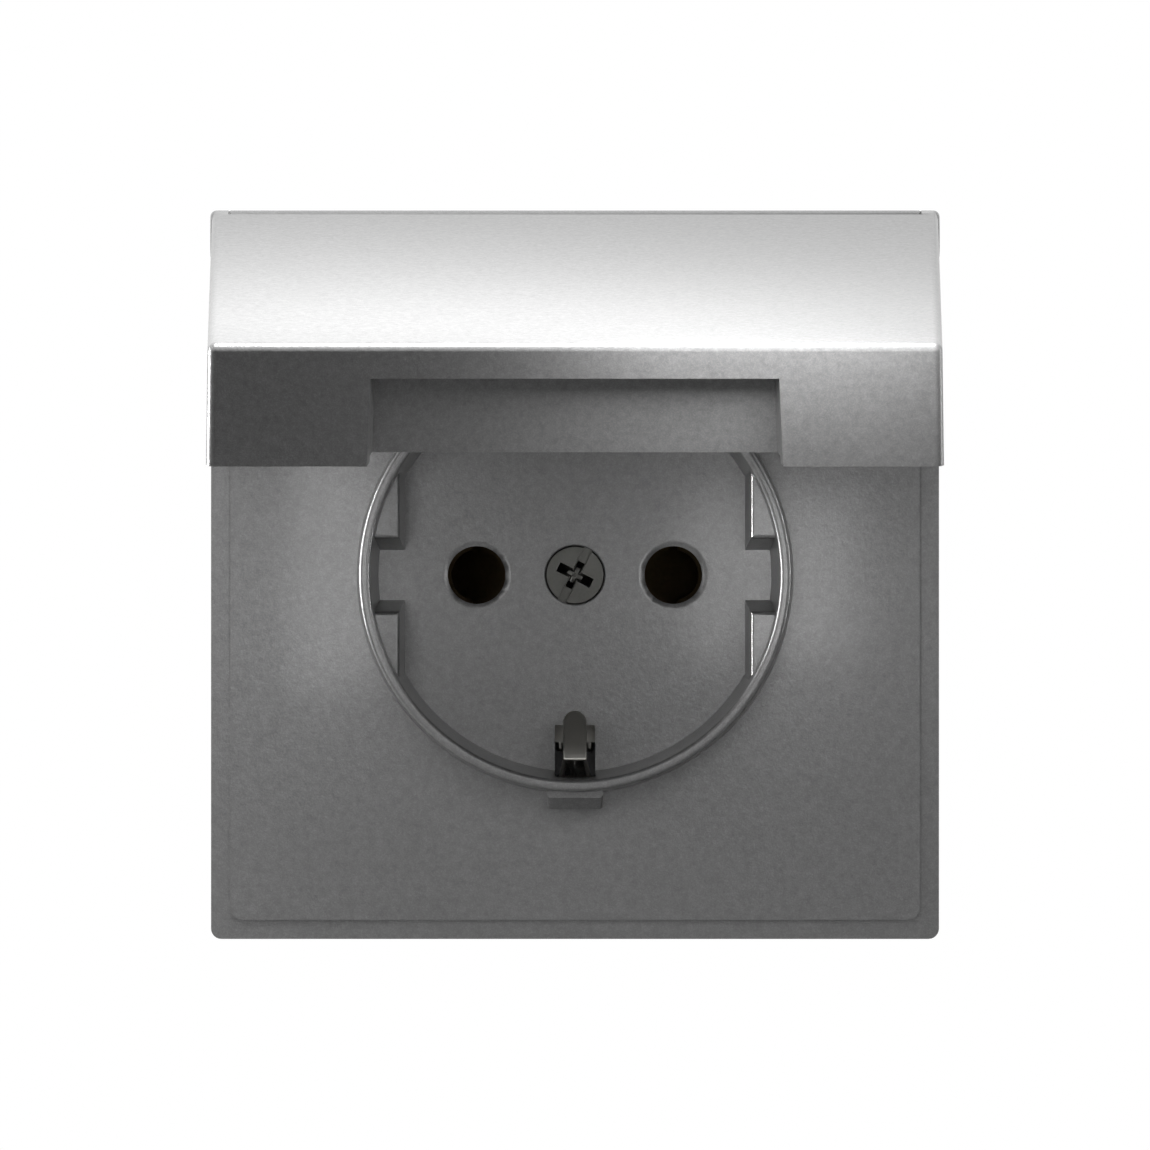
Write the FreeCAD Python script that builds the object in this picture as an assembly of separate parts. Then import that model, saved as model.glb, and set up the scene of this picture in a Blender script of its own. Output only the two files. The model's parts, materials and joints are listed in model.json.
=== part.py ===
"""Type F wall socket insert with a hinged splash-proof lid.

Frame: +X to the viewer's right, +Z up, the viewer stands at -Y. The wall
surface is the plane Y = 0, and the mechanism reaches into the wall, to +Y.
The origin lies on the wall surface, on the axis of the plug recess.
"""
import FreeCAD, Part
import math
import os

# Cover plate
plate_corner_radius = 1.0
ledge_projection = 6.0
ledge_width = 1.85
platform_height = 0.7
platform_corner_radius = 1.2
plate_wall = 1.8
skirt_wall = 1.2
skirt_lift = 0.2
ledge_strip_top = 28.7
notch_depth = 1.6
post_radius = 1.6
post_inset = 8.5

# Plug recess and its collar
collar_height = 7.8
collar_top_radius = 20.85
collar_flare = 0.25
collar_rim_width = 1.1
recess_draft = 0.78
recess_depth = 17.5
recess_wall = 1.5
recess_floor_thickness = 1.8
collar_edge_radius = 0.3
pin_spacing = 19.0
pin_hole_radius = 2.785
pin_countersink_radius = 3.4
pin_countersink_depth = 0.45
pad_depth = 2.57
pad_lean = 0.5
pad_top_drop = 3.45
pad_groove_foot_width = 4.85
pad_groove_top_width = 7.2
earth_slot_width = 3.9
earth_slot_depth = 4.47
earth_slot_top_drop = 5.0
collar_skin = 0.8

# Catch for the lid
catch_width = 5.4
catch_overhang = 1.45
catch_slope = 1.09
catch_height = 5.4
catch_nose_height = 1.3
catch_undercut = 0.6

# Lid and hinge
lid_open_angle = 78.7
lid_depth = 11.9
lid_draft = 0.17
lid_face_wall = 1.8
lid_side_wall = 1.65
lid_rim_gap = 0.1
lid_edge_radius = 0.85
hinge_radius = 2.5
hinge_setback = 2.7
hinge_gap = 0.25
hinge_side_gap = 0.2
arm_thickness = 1.75
arm_edge_radius = 0.6
arm_foot_drop = 4.4
hinge_pin_radius = 1.0
hinge_pin_grip = 4.0
hinge_pin_reach = 0.9
hinge_running_gap = 0.05
hinge_core_wall = 1.5
finger_width = 39.14
finger_rim_width = 39.94
finger_height = 8.485
finger_depth = 3.45
finger_end_slant = 0.6
finger_wall = 1.6
hook_width = 4.4
hook_thickness = 1.2
hook_nose = 0.45
hook_gap = 0.12
seal_overhang = 0.3
seal_width = 1.7
seal_gap = 0.15
seal_rib_width = 0.7
seal_rib_height = 0.8
seal_fit = 0.1

# Support ring, gasket and fixing slots
gasket_thickness = 0.8
ring_thickness = 1.2
ring_inset = 0.3
ring_corner_radius = 3.0
cup_gap = 0.5
fixing_slot_length = 6.0
fixing_slot_width = 3.6
fixing_web = 1.43
sheet_margin = 0.6
gasket_hole_gap = 1.2
edge_notch_width = 9.0
edge_notch_depth = 1.6
rib_length = 12.0
rib_width = 2.0
rib_height = 0.5

# Insert housing
housing_wall = 3.4
housing_floor = 3.6
base_top_margin = 0.03
base_depth = 22.0
base_chamfer = 8.5
base_back_wall = 3.0
base_wall = 1.5
carrier_gap = 0.1
rivet_radius = 1.0
rivet_head_radius = 1.8
rivet_head_height = 0.6
rivet_grip = 5.0
base_screw_radius = 1.2
base_screw_head_radius = 2.2
base_screw_head_height = 1.6
base_screw_length = 9.0
base_screw_inset = 4.77

# Centre screw
screw_head_radius = 2.85
screw_head_gap = 0.125
screw_head_height = 1.9
screw_shank_radius = 1.75
screw_length = 13.0
screw_slot_width = 0.92
screw_slot_depth = 0.7
screw_cross_length = 3.3
screw_cross_depth = 1.1
screw_point_radius = 0.36
screw_turn = -27.0
screw_boss_wall = 1.9
screw_boss_height = 1.6

# Earth bracket
strap_width = 6.0
strap_thickness = 0.8
clip_width = 2.3
clip_foot_width = 3.4
clip_tip_drop = 5.87
clip_fold_drop = 2.67
clip_facet_drop = 1.17
clip_end_gap = 0.25
clip_back_gap = 1.12
clip_tip_height = 0.36
clip_fold_height = 0.62
nut_radius = 3.2
nut_height = 3.4

# Live and neutral contacts and terminals
sleeve_bore_radius = 2.45
sleeve_wall = 0.7
sleeve_length = 11.0
sleeve_slit = 0.9
sleeve_front_gap = 1.2
busbar_thickness = 0.8
busbar_width = 5.0
spring_wall = 0.5
spring_height = 3.2
terminal_width = 6.4
terminal_depth = 9.0
terminal_gap = 0.65
terminal_screw_radius = 1.5
terminal_screw_head_radius = 2.3
terminal_screw_head_height = 1.8
terminal_screw_length = 4.2
wire_radius = 1.3
pocket_gap = 0.3

# How near two places count as one
place_tolerance = 1e-4

# Places that follow from the sizes above
collar_foot_radius = collar_top_radius + collar_flare
recess_mouth_radius = collar_top_radius - collar_rim_width
recess_floor_radius = recess_mouth_radius - recess_draft
pad_foot_offset = recess_floor_radius - pad_depth
pad_top_offset = pad_foot_offset + pad_lean
earth_slot_start = recess_floor_radius - earth_slot_depth
catch_reach = collar_foot_radius + catch_overhang
catch_flat_reach = catch_reach - catch_slope
seal_outer_radius = collar_top_radius + seal_overhang
seal_inner_radius = seal_outer_radius - seal_width
clip_tip = recess_floor_radius - clip_tip_drop
clip_fold = recess_floor_radius - clip_fold_drop
clip_facet_end = recess_floor_radius - clip_facet_drop
cup_outer_radius = recess_floor_radius + recess_wall
housing_inner_radius = cup_outer_radius + cup_gap
housing_outer_radius = housing_inner_radius + housing_wall
gasket_hole_radius = housing_outer_radius + gasket_hole_gap
fixing_spacing = 2 * (gasket_hole_radius + fixing_web) + fixing_slot_length
ring_width = fixing_spacing + fixing_slot_length + 2 * sheet_margin
plate_width = ring_width + 2 * (skirt_wall + ring_inset)
pin_x = pin_spacing / 2
spring_outer_radius = sleeve_bore_radius + sleeve_wall + spring_wall
terminal_offset = pin_x + spring_outer_radius + terminal_gap + terminal_width / 2
base_width = 2 * (terminal_offset + terminal_width / 2 + pocket_gap + base_wall)
base_height = 2 * (housing_inner_radius + base_top_margin)
base_screw_place = housing_inner_radius - base_screw_inset
half_plate = plate_width / 2
half_platform = half_plate - ledge_width
ledge_y = -ledge_projection
platform_y = ledge_y - platform_height
plate_inside_y = platform_y + plate_wall
notch_floor_y = ledge_y + notch_depth
collar_top_y = platform_y - collar_height
floor_y = collar_top_y + recess_depth
cup_back_y = floor_y + recess_floor_thickness
pad_top_y = collar_top_y + pad_top_drop
ring_back_y = -gasket_thickness
ring_front_y = ring_back_y - ring_thickness
boss_radius = screw_head_radius + screw_head_gap + screw_boss_wall
boss_back_y = cup_back_y + screw_boss_height
housing_floor_y = cup_back_y + cup_gap
base_front_y = housing_floor_y + housing_floor
base_back_y = base_front_y + base_depth
half_block = half_plate - arm_thickness - hinge_side_gap
arm_inner = half_plate - arm_thickness
lid_rim_y = ledge_y - lid_rim_gap
lid_face_y = lid_rim_y - lid_depth
lid_inside_y = lid_face_y + lid_face_wall
hinge_y = lid_face_y + hinge_setback
hinge_z = half_plate - hinge_radius
lid_end_z = hinge_z - hinge_radius - hinge_gap
strap_y = base_front_y
sleeve_y = base_front_y + sleeve_front_gap
sleeve_back_y = sleeve_y + sleeve_length
hinge_axis = (FreeCAD.Vector(0, hinge_y, hinge_z), FreeCAD.Vector(-1, 0, 0))


def box(x0, x1, y0, y1, z0, z1):
    """A block between two opposite corners."""
    corner = FreeCAD.Vector(x0, y0, z0)
    return Part.makeBox(x1 - x0, y1 - y0, z1 - z0, corner)


def post(x, z, radius, y0, y1):
    """A round bar along Y."""
    return Part.makeCylinder(radius, y1 - y0, FreeCAD.Vector(x, y0, z), FreeCAD.Vector(0, 1, 0))


def bar(y, z, radius, x0, x1):
    """A round bar along X."""
    return Part.makeCylinder(radius, x1 - x0, FreeCAD.Vector(x0, y, z), FreeCAD.Vector(1, 0, 0))


def cone(x, z, front_radius, back_radius, y0, y1):
    """A round taper along Y."""
    return Part.makeCone(front_radius, back_radius, y1 - y0,
                         FreeCAD.Vector(x, y0, z), FreeCAD.Vector(0, 1, 0))


def turned(profile):
    """Revolve (radius, y) points about the recess axis."""
    points = [FreeCAD.Vector(radius, y, 0) for radius, y in profile]
    face = Part.Face(Part.makePolygon(points + points[:1]))
    return face.revolve(FreeCAD.Vector(0, 0, 0), FreeCAD.Vector(0, 1, 0), 360)


def side_prism(outline, x0, x1):
    """Extrude a (y, z) outline along X."""
    points = [FreeCAD.Vector(x0, y, z) for y, z in outline]
    face = Part.Face(Part.makePolygon(points + points[:1]))
    return face.extrude(FreeCAD.Vector(x1 - x0, 0, 0))


def front_prism(outline, y0, y1):
    """Extrude an (x, z) outline along Y."""
    points = [FreeCAD.Vector(x, y0, z) for x, z in outline]
    face = Part.Face(Part.makePolygon(points + points[:1]))
    return face.extrude(FreeCAD.Vector(0, y1 - y0, 0))


def tapered(low, high):
    """Solid between two outlines with the same number of corners, all faces flat."""
    faces = [Part.Face(Part.makePolygon(ring + ring[:1])) for ring in (low, high)]
    for index, start in enumerate(low):
        after = (index + 1) % len(low)
        corners = [start, low[after], high[after], high[index], start]
        faces.append(Part.Face(Part.makePolygon(corners)))
    shell = Part.makeShell(faces)
    shell.sewShape()
    solid = Part.Solid(shell)
    return solid if solid.Volume > 0 else tapered(low[::-1], high[::-1])


def edges_along(shape, direction, test):
    """Straight edges along a direction whose midpoint passes a test."""
    found = []
    for edge in shape.Edges:
        if not isinstance(edge.Curve, Part.Line):
            continue
        start, end = edge.Vertexes[0].Point, edge.Vertexes[-1].Point
        run = (end - start).normalize()
        if abs(abs(run.dot(direction)) - 1) < 1e-3 and test((start + end) * 0.5):
            found.append(edge)
    return found


def rounded_block(x0, x1, y0, y1, z0, z1, radius):
    """A block whose four edges along Y are rounded."""
    block = box(x0, x1, y0, y1, z0, z1)
    edges = edges_along(block, FreeCAD.Vector(0, 1, 0), lambda middle: True)
    return block.makeFillet(radius, edges)


def slot_bar(x, z, length, width, y0, y1):
    """A bar along Y with a slot-shaped section, long along X."""
    reach = (length - width) / 2
    ends = [post(x + side * reach, z, width / 2, y0, y1) for side in (-1, 1)]
    middle = box(x - reach, x + reach, y0, y1, z - width / 2, z + width / 2)
    return middle.fuse(ends).removeSplitter()


def turned_about_recess(shape, angle):
    """A copy turned about the recess axis."""
    copy = shape.copy()
    copy.rotate(FreeCAD.Vector(0, 0, 0), FreeCAD.Vector(0, 1, 0), angle)
    return copy


def opened(shape):
    """Swing a lid piece from closed to the angle at which the lid stands."""
    copy = shape.copy()
    copy.rotate(hinge_axis[0], hinge_axis[1], lid_open_angle)
    return copy


def save(name, shape):
    """Write one piece, one or more closed solids, to its own file."""
    solids = shape.Solids
    assert solids and all(solid.isValid() and solid.isClosed() for solid in solids), name
    piece = solids[0] if len(solids) == 1 else Part.makeCompound(solids)
    piece.exportStep("parts/" + name + ".step")


def recess_space():
    """The drafted round hollow that takes the plug."""
    edge = collar_edge_radius
    return turned([
        (0, floor_y),
        (recess_floor_radius, floor_y),
        (recess_mouth_radius, collar_top_y + edge),
        (recess_mouth_radius + edge, collar_top_y),
        (recess_mouth_radius + edge, collar_top_y - plate_wall),
        (0, collar_top_y - plate_wall),
    ])


def guide_pad(side):
    """One guide pad on the recess wall, parted by a tapered groove."""
    outer = recess_mouth_radius + collar_edge_radius
    pad = side_profile_pad(side, outer)
    half_foot, half_top = pad_groove_foot_width / 2, pad_groove_top_width / 2
    groove = side_prism([
        (floor_y, -half_foot), (floor_y, half_foot),
        (pad_top_y, half_top), (pad_top_y, -half_top),
    ], -outer, outer)
    return pad.common(recess_space()).cut(groove)


def side_profile_pad(side, outer):
    """The drafted block that one guide pad is cut from."""
    points = [
        (side * pad_foot_offset, floor_y), (side * pad_top_offset, pad_top_y),
        (side * outer, pad_top_y), (side * outer, floor_y),
    ]
    corners = [FreeCAD.Vector(x, y, -outer) for x, y in points]
    face = Part.Face(Part.makePolygon(corners + corners[:1]))
    return face.extrude(FreeCAD.Vector(0, 0, 2 * outer))


def earth_slot(side):
    """Room for one earth clip: through the floor and into the wall."""
    half = earth_slot_width / 2
    skin_radius = collar_top_radius - collar_skin
    top_y = collar_top_y + earth_slot_top_drop
    blind = box(-half, half, top_y, cup_back_y, earth_slot_start, skin_radius)
    through = box(-half, half, plate_inside_y, cup_back_y, earth_slot_start, housing_inner_radius)
    return turned_about_recess(blind.fuse(through), 0 if side > 0 else 180)


def collar_and_cup():
    """Collar in front of the plate and cup behind it, as one turned form."""
    edge = collar_edge_radius
    body = turned([
        (0, collar_top_y), (collar_top_radius - edge, collar_top_y),
        (collar_top_radius, collar_top_y + edge),
        (collar_foot_radius, platform_y), (collar_foot_radius, plate_inside_y),
        (cup_outer_radius, plate_inside_y), (cup_outer_radius, cup_back_y), (0, cup_back_y),
    ])
    boss = post(0, 0, boss_radius, cup_back_y, boss_back_y)
    return body.fuse(boss)


def catch_tab():
    """Nose on the collar that the hook in the lid passes."""
    top_y = platform_y - catch_height
    nose_y = top_y + catch_nose_height
    stem = catch_reach - catch_undercut
    root = collar_top_radius - collar_skin
    tab = side_prism([
        (plate_inside_y, -root), (top_y, -root), (top_y, -catch_flat_reach),
        (nose_y, -catch_reach), (nose_y + catch_undercut, -stem), (plate_inside_y, -stem),
    ], -catch_width / 2, catch_width / 2)
    edges = edges_along(tab, FreeCAD.Vector(0, 1, 0), lambda middle: middle.z < -root)
    return tab.makeFillet(collar_edge_radius, edges)


def hinge_block():
    """Fixed block across the top, its front rounded as the hinge barrel."""
    nose = bar(hinge_y, hinge_z, hinge_radius, -half_block, half_block)
    body = box(-half_block, half_block, hinge_y, platform_y + plate_wall,
               hinge_z - hinge_radius, half_plate)
    return nose.fuse(body).removeSplitter()


def hinge_block_core():
    """Core that keeps the hinge block thin-walled, open to the back."""
    reach = half_block - hinge_pin_grip - hinge_core_wall
    half = hinge_radius - hinge_core_wall
    front = hinge_y - hinge_radius + 2 * hinge_core_wall
    return box(-reach, reach, front, ring_front_y, hinge_z - half, hinge_z + half)


def plate_blank():
    """Flange with its skirt and raised platform, hollow behind."""
    blank = rounded_block(-half_plate, half_plate, ledge_y, -skirt_lift,
                          -half_plate, half_plate, plate_corner_radius)
    platform = rounded_block(-half_platform, half_platform, platform_y, ledge_y,
                             -half_platform, half_platform, platform_corner_radius)
    hollow = half_plate - skirt_wall
    room = box(-hollow, hollow, plate_inside_y, 0, -hollow, hollow)
    blank = blank.fuse(platform).fuse(hinge_block())
    return blank.cut(room).cut(hinge_block_core())


def notch_side(side, inner, outer, front, back, low, high):
    """A box beside or in one of the arm notches, left or right."""
    start, end = sorted((side * inner, side * outer))
    return box(start, end, front, back, low, high)


def arm_notches():
    """Corners left free for the arms of the lid."""
    top = half_plate + plate_wall
    return [notch_side(side, half_block, top, -2 * abs(lid_face_y), notch_floor_y,
                       ledge_strip_top, top) for side in (-1, 1)]


def notch_floors():
    """Walls and floors that close the plate round the arm notches."""
    inner = half_block - skirt_wall
    under = ledge_strip_top - skirt_wall
    front = plate_inside_y - plate_wall / 2
    back = notch_floor_y + skirt_wall
    hollow = half_plate - skirt_wall / 2
    pieces = []
    for side in (-1, 1):
        pieces.append(notch_side(side, inner, half_block, front, back, under, hollow))
        pieces.append(notch_side(side, inner, hollow, front, back, under, ledge_strip_top))
        pieces.append(notch_side(side, inner, hollow, notch_floor_y, back, under, hollow))
    return pieces


def cover_plate():
    """Cover plate with collar, recess cup, guide pads and hinge block."""
    plate = plate_blank().cut(arm_notches()).fuse(notch_floors())
    plate = plate.fuse([collar_and_cup(), catch_tab()]).cut(recess_space())
    plate = plate.fuse([guide_pad(-1), guide_pad(1)])
    cuts = [earth_slot(1), earth_slot(-1)]
    for side in (-1, 1):
        cuts.append(post(side * pin_x, 0, pin_hole_radius, floor_y, cup_back_y))
        cuts.append(cone(side * pin_x, 0, pin_countersink_radius, pin_hole_radius,
                         floor_y, floor_y + pin_countersink_depth))
        start, end = sorted((side * half_block, side * (half_block - hinge_pin_grip)))
        cuts.append(bar(hinge_y, hinge_z, hinge_pin_radius, start, end))
    cuts.append(post(0, 0, screw_head_radius + screw_head_gap, floor_y, floor_y + screw_head_height))
    cuts.append(post(0, 0, screw_shank_radius + screw_head_gap, floor_y, boss_back_y))
    plate = plate.cut(cuts)
    place = half_plate - post_inset
    studs = [post(x, z, post_radius, plate_inside_y, ring_front_y)
             for x in (-place, place) for z in (-place, place)]
    return plate.fuse(studs).removeSplitter()


def hinge_pin(side):
    """Stub pin pressed into one end of the barrel."""
    start, end = sorted((side * (half_block - hinge_pin_grip), side * (arm_inner + hinge_pin_reach)))
    return bar(hinge_y, hinge_z, hinge_pin_radius, start, end)


def lid_tray(inset, front, top):
    """Drafted block of the lid, narrower at the front than at the rim."""
    rim = half_plate - inset
    face = rim - lid_draft
    return Part.makeWedge(-face, front, -face, -rim, -rim, face, lid_rim_y, top, top, rim)


def lid_blank():
    """Drafted tray with rounded outer edges, reaching up to the top of the plate."""
    tray = lid_tray(0, lid_face_y, half_plate)
    edges = [edge for edge in tray.Edges
             if min(vertex.Z for vertex in edge.Vertexes) < 0
             and any(abs(vertex.Y - lid_face_y) < place_tolerance for vertex in edge.Vertexes)]
    return tray.makeFillet(lid_edge_radius, edges)


def lid_hollow():
    """Space inside the lid, open at the rim and at the hinge end."""
    return lid_tray(lid_side_wall, lid_inside_y, half_plate + plate_wall)


def lid_side_trim():
    """Side view of the lid: tray, arms and the round arm ends."""
    front = (hinge_setback, lid_end_z - hinge_z)
    foot = (hinge_y - lid_rim_y, -arm_foot_drop)
    start = tangent_angle(front, 1)
    end = tangent_angle(foot, -1) + 2 * math.pi

    def at(ahead, up):
        return FreeCAD.Vector(-half_plate, hinge_y - ahead, hinge_z + up)

    def on_barrel(angle):
        return at(hinge_radius * math.cos(angle), hinge_radius * math.sin(angle))

    bottom = -half_plate - hinge_z
    lines = [at(foot[0], bottom), at(front[0], bottom), at(*front), on_barrel(start)]
    edges = [Part.makeLine(a, b) for a, b in zip(lines, lines[1:])]
    edges.append(Part.Arc(on_barrel(start), on_barrel((start + end) / 2), on_barrel(end)).toShape())
    edges.append(Part.makeLine(on_barrel(end), at(*foot)))
    edges.append(Part.makeLine(at(*foot), lines[0]))
    return Part.Face(Part.Wire(edges)).extrude(FreeCAD.Vector(plate_width, 0, 0))


def tangent_angle(point, turn):
    """Angle at which a line from a point touches the barrel."""
    distance = math.hypot(*point)
    return math.atan2(point[1], point[0]) + turn * math.acos(hinge_radius / distance)


def arm_end(side):
    """Round end of one lid arm with a soft outer edge."""
    start, end = sorted((side * arm_inner, side * half_plate))
    disc = bar(hinge_y, hinge_z, hinge_radius, start, end)
    outer = [edge for edge in disc.Edges
             if isinstance(edge.Curve, Part.Circle)
             and abs(edge.Curve.Center.x - side * half_plate) < place_tolerance]
    return disc.makeFillet(arm_edge_radius, outer)


def finger_space(wall):
    """Finger pocket in the lower wall, or with a wall the block that lines it."""
    def section(z, slant):
        rim = finger_rim_width / 2 - slant + wall
        top = finger_width / 2 - slant + wall
        rim_y = lid_rim_y - (platform_height if wall else -lid_rim_gap)
        top_y = lid_rim_y - finger_height - wall
        corners = [(-rim, rim_y), (rim, rim_y), (top, top_y), (-top, top_y)]
        return [FreeCAD.Vector(x, y, z) for x, y in corners]

    outer_z = -half_plate + (lid_side_wall / 2 if wall else -lid_rim_gap)
    inner_z = -half_plate + finger_depth + wall
    return tapered(section(outer_z, 0), section(inner_z, finger_end_slant))


def lid_hook():
    """Hook inside the lid that passes over the catch nose when it shuts."""
    inner = catch_reach + hook_gap
    stem = inner + hook_nose
    tip_y = platform_y - catch_height + catch_nose_height + catch_undercut
    return side_prism([
        (lid_inside_y, -stem - hook_thickness), (lid_inside_y, -stem),
        (tip_y - 2 * hook_nose, -stem), (tip_y - hook_nose, -inner),
        (tip_y, -inner - hook_nose / 2), (tip_y, -stem - hook_thickness),
    ], -hook_width / 2, hook_width / 2)


def seal_rib(inner_radius):
    """Round rib inside the lid that holds the seal."""
    outer = inner_radius + seal_rib_width
    rib = post(0, 0, outer, lid_inside_y, lid_inside_y + seal_rib_height)
    return rib.cut(post(0, 0, inner_radius, lid_inside_y, lid_inside_y + seal_rib_height))


def lid():
    """Hinged lid: tray, arms, finger pocket, hook and seal ribs."""
    shell = lid_blank().common(lid_side_trim()).cut(lid_hollow())
    reach = half_plate + plate_wall
    shell = shell.cut(box(-arm_inner, arm_inner, -2 * abs(lid_face_y), 0, lid_end_z, reach))
    shell = shell.fuse([arm_end(-1), arm_end(1), lid_hook(), finger_space(finger_wall)])
    inner_rib = seal_rib(seal_inner_radius - seal_fit - seal_rib_width)
    outer_rib = seal_rib(seal_outer_radius + seal_fit)
    shell = shell.fuse([inner_rib, outer_rib]).cut(finger_space(0))
    bore_reach = arm_inner + hinge_pin_reach + hinge_running_gap
    bore = bar(hinge_y, hinge_z, hinge_pin_radius + hinge_running_gap, -bore_reach, bore_reach)
    return shell.cut(bore).removeSplitter()


def lid_seal():
    """Soft ring inside the lid that meets the collar when the lid is shut."""
    front = lid_inside_y
    back = collar_top_y - seal_gap
    middle = (seal_inner_radius + seal_outer_radius) / 2
    lip = (seal_outer_radius - seal_inner_radius) / 4
    return turned([
        (seal_inner_radius, front), (seal_outer_radius, front),
        (seal_outer_radius, front + seal_rib_height), (middle + lip, back),
        (middle - lip, back), (seal_inner_radius, front + seal_rib_height),
    ])


def fixing_slots(y0, y1):
    """Slots for the two box screws, and the spare pair above and below."""
    place = fixing_spacing / 2
    slots = [slot_bar(side * place, 0, fixing_slot_length, fixing_slot_width, y0, y1)
             for side in (-1, 1)]
    upright = [turned_about_recess(slot, 90) for slot in slots]
    return slots + upright


def square_sheet(y0, y1):
    """Square sheet with rounded corners, inside the skirt."""
    half = ring_width / 2
    return rounded_block(-half, half, y0, y1, -half, half, ring_corner_radius)


def support_ring():
    """Pressed steel ring that the box screws hold to the wall."""
    half = ring_width / 2
    ring = square_sheet(ring_front_y, ring_back_y)
    cuts = [post(0, 0, housing_inner_radius, ring_front_y, ring_back_y)]
    cuts += fixing_slots(ring_front_y, ring_back_y)
    notch = box(-edge_notch_width / 2, edge_notch_width / 2, ring_front_y, ring_back_y,
                half - edge_notch_depth, half)
    cuts += [turned_about_recess(notch, angle) for angle in (0, 180)]
    cuts += rivet_bars(rivet_radius, ring_front_y, ring_back_y)
    rib_place = half_plate - post_inset / 2
    rib = box(-rib_length / 2, rib_length / 2, ring_front_y - rib_height, ring_front_y,
              rib_place - rib_width, rib_place)
    rib.translate(FreeCAD.Vector(rib_length, 0, -post_inset / 4))
    ribs = [turned_about_recess(rib, angle) for angle in (0, 90, 180, 270)]
    return ring.cut(cuts).fuse(ribs).removeSplitter()


def rivet_bars(radius, y0, y1):
    """Four bars on the diagonals, through ring and housing."""
    middle = (housing_inner_radius + housing_outer_radius) / 2
    first = post(middle, 0, radius, y0, y1)
    return [turned_about_recess(first, angle) for angle in (45, 135, 225, 315)]


def rivets():
    """Four rivets that hold the ring to the housing."""
    shanks = rivet_bars(rivet_radius, ring_front_y, ring_back_y + rivet_grip)
    heads = rivet_bars(rivet_head_radius, ring_front_y - rivet_head_height, ring_front_y)
    return Part.makeCompound([shank.fuse(head) for shank, head in zip(shanks, heads)])


def rear_gasket():
    """Soft sheet between the ring and the wall."""
    cuts = fixing_slots(ring_back_y, 0)
    cuts.append(post(0, 0, gasket_hole_radius, ring_back_y, 0))
    return square_sheet(ring_back_y, 0).cut(cuts).removeSplitter()


def clip_slots(y0, y1, margin):
    """Ways for the two earth clips through a floor."""
    half = earth_slot_width / 2 + margin
    slot = box(-half, half, y0, y1, earth_slot_start - margin, housing_inner_radius)
    return [slot, turned_about_recess(slot, 180)]


def insert_front():
    """Front housing: round tray that carries the cup of the cover plate."""
    body = post(0, 0, housing_outer_radius, ring_back_y, base_front_y)
    cuts = [post(0, 0, housing_inner_radius, ring_back_y, housing_floor_y)]
    cuts.append(post(0, 0, boss_radius + cup_gap, housing_floor_y, boss_back_y + cup_gap))
    cuts.append(post(0, 0, screw_shank_radius + cup_gap, housing_floor_y, base_front_y))
    cuts += [post(side * pin_x, 0, pin_hole_radius + cup_gap, housing_floor_y, base_front_y)
             for side in (-1, 1)]
    cuts += clip_slots(housing_floor_y, base_front_y, pocket_gap)
    cuts += rivet_bars(rivet_radius, ring_back_y, ring_back_y + rivet_grip)
    cuts += base_screw_bars(base_screw_radius, base_front_y - housing_floor / 2, base_front_y)
    return body.cut(cuts).removeSplitter()


def base_screw_bars(radius, y0, y1):
    """Two bars on one diagonal, from the back of the base."""
    place = base_screw_place * math.sqrt(0.5)
    return [post(-place, place, radius, y0, y1), post(place, -place, radius, y0, y1)]


def base_screws():
    """Two screws that hold the base to the front housing."""
    head_y = base_back_y - base_screw_head_height
    pairs = zip(base_screw_bars(base_screw_radius, base_front_y - housing_floor / 2, head_y),
                base_screw_bars(base_screw_head_radius, head_y, base_back_y))
    slot = box(-half_plate, half_plate, base_back_y - base_screw_head_height / 2, base_back_y,
               -base_screw_radius / 4, base_screw_radius / 4)
    slot = turned_about_recess(slot, 45)
    return Part.makeCompound([shank.fuse(head).cut(slot) for shank, head in pairs])


def base_block(inset, back_y):
    """Eight-sided block that fits a round wall box, its sides set in."""
    half_x, half_z = base_width / 2 - inset, base_height / 2 - inset
    cut = base_chamfer - inset * (2 - math.sqrt(2))
    return front_prism([
        (-half_x, -half_z + cut), (-half_x + cut, -half_z), (half_x - cut, -half_z),
        (half_x, -half_z + cut), (half_x, half_z - cut), (half_x - cut, half_z),
        (-half_x + cut, half_z), (-half_x, half_z - cut),
    ], base_front_y, back_y)


def contact_pocket(side):
    """Room for one pin contact, its bus bar and its terminal."""
    gap = pocket_gap
    reach = spring_outer_radius + gap
    back = sleeve_back_y + busbar_thickness + gap
    well = box(pin_x - reach, pin_x + reach, base_front_y, back, -reach, reach)
    half = terminal_width / 2 + gap
    chamber = box(pin_x, terminal_offset + half, base_front_y,
                  sleeve_back_y + busbar_thickness, -half, half)
    room = well.fuse(chamber)
    return room if side > 0 else turned_about_recess(room, 180)


def strap_pocket():
    """Room for the earth strap, its nut and the earth terminal."""
    gap = pocket_gap
    half = strap_width / 2 + gap
    reach = housing_inner_radius - gap
    channel = box(-half, half, strap_y, strap_y + strap_thickness, -reach, reach)
    well = post(0, 0, nut_radius + gap, strap_y, strap_y + screw_length)
    side = terminal_width / 2 + gap
    chamber = box(-side, side, strap_y, strap_y + strap_thickness + terminal_depth,
                  earth_terminal_z() - side, earth_terminal_z() + side)
    return channel.fuse([well, chamber])


def earth_terminal_z():
    """Height of the earth terminal on its strap."""
    return base_height / 2 - terminal_width / 2 - 2 * pocket_gap - terminal_screw_head_height


def terminal_bar(side, upright, radius, start, end):
    """A round bar on the axis of a terminal's screw, between two distances out."""
    direction = FreeCAD.Vector(0, 0, 1) if upright else FreeCAD.Vector(side, 0, 0)
    origin = FreeCAD.Vector(0, terminal_screw_y(upright), 0)
    return Part.makeCylinder(radius, end - start, origin + direction * start, direction)


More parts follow.
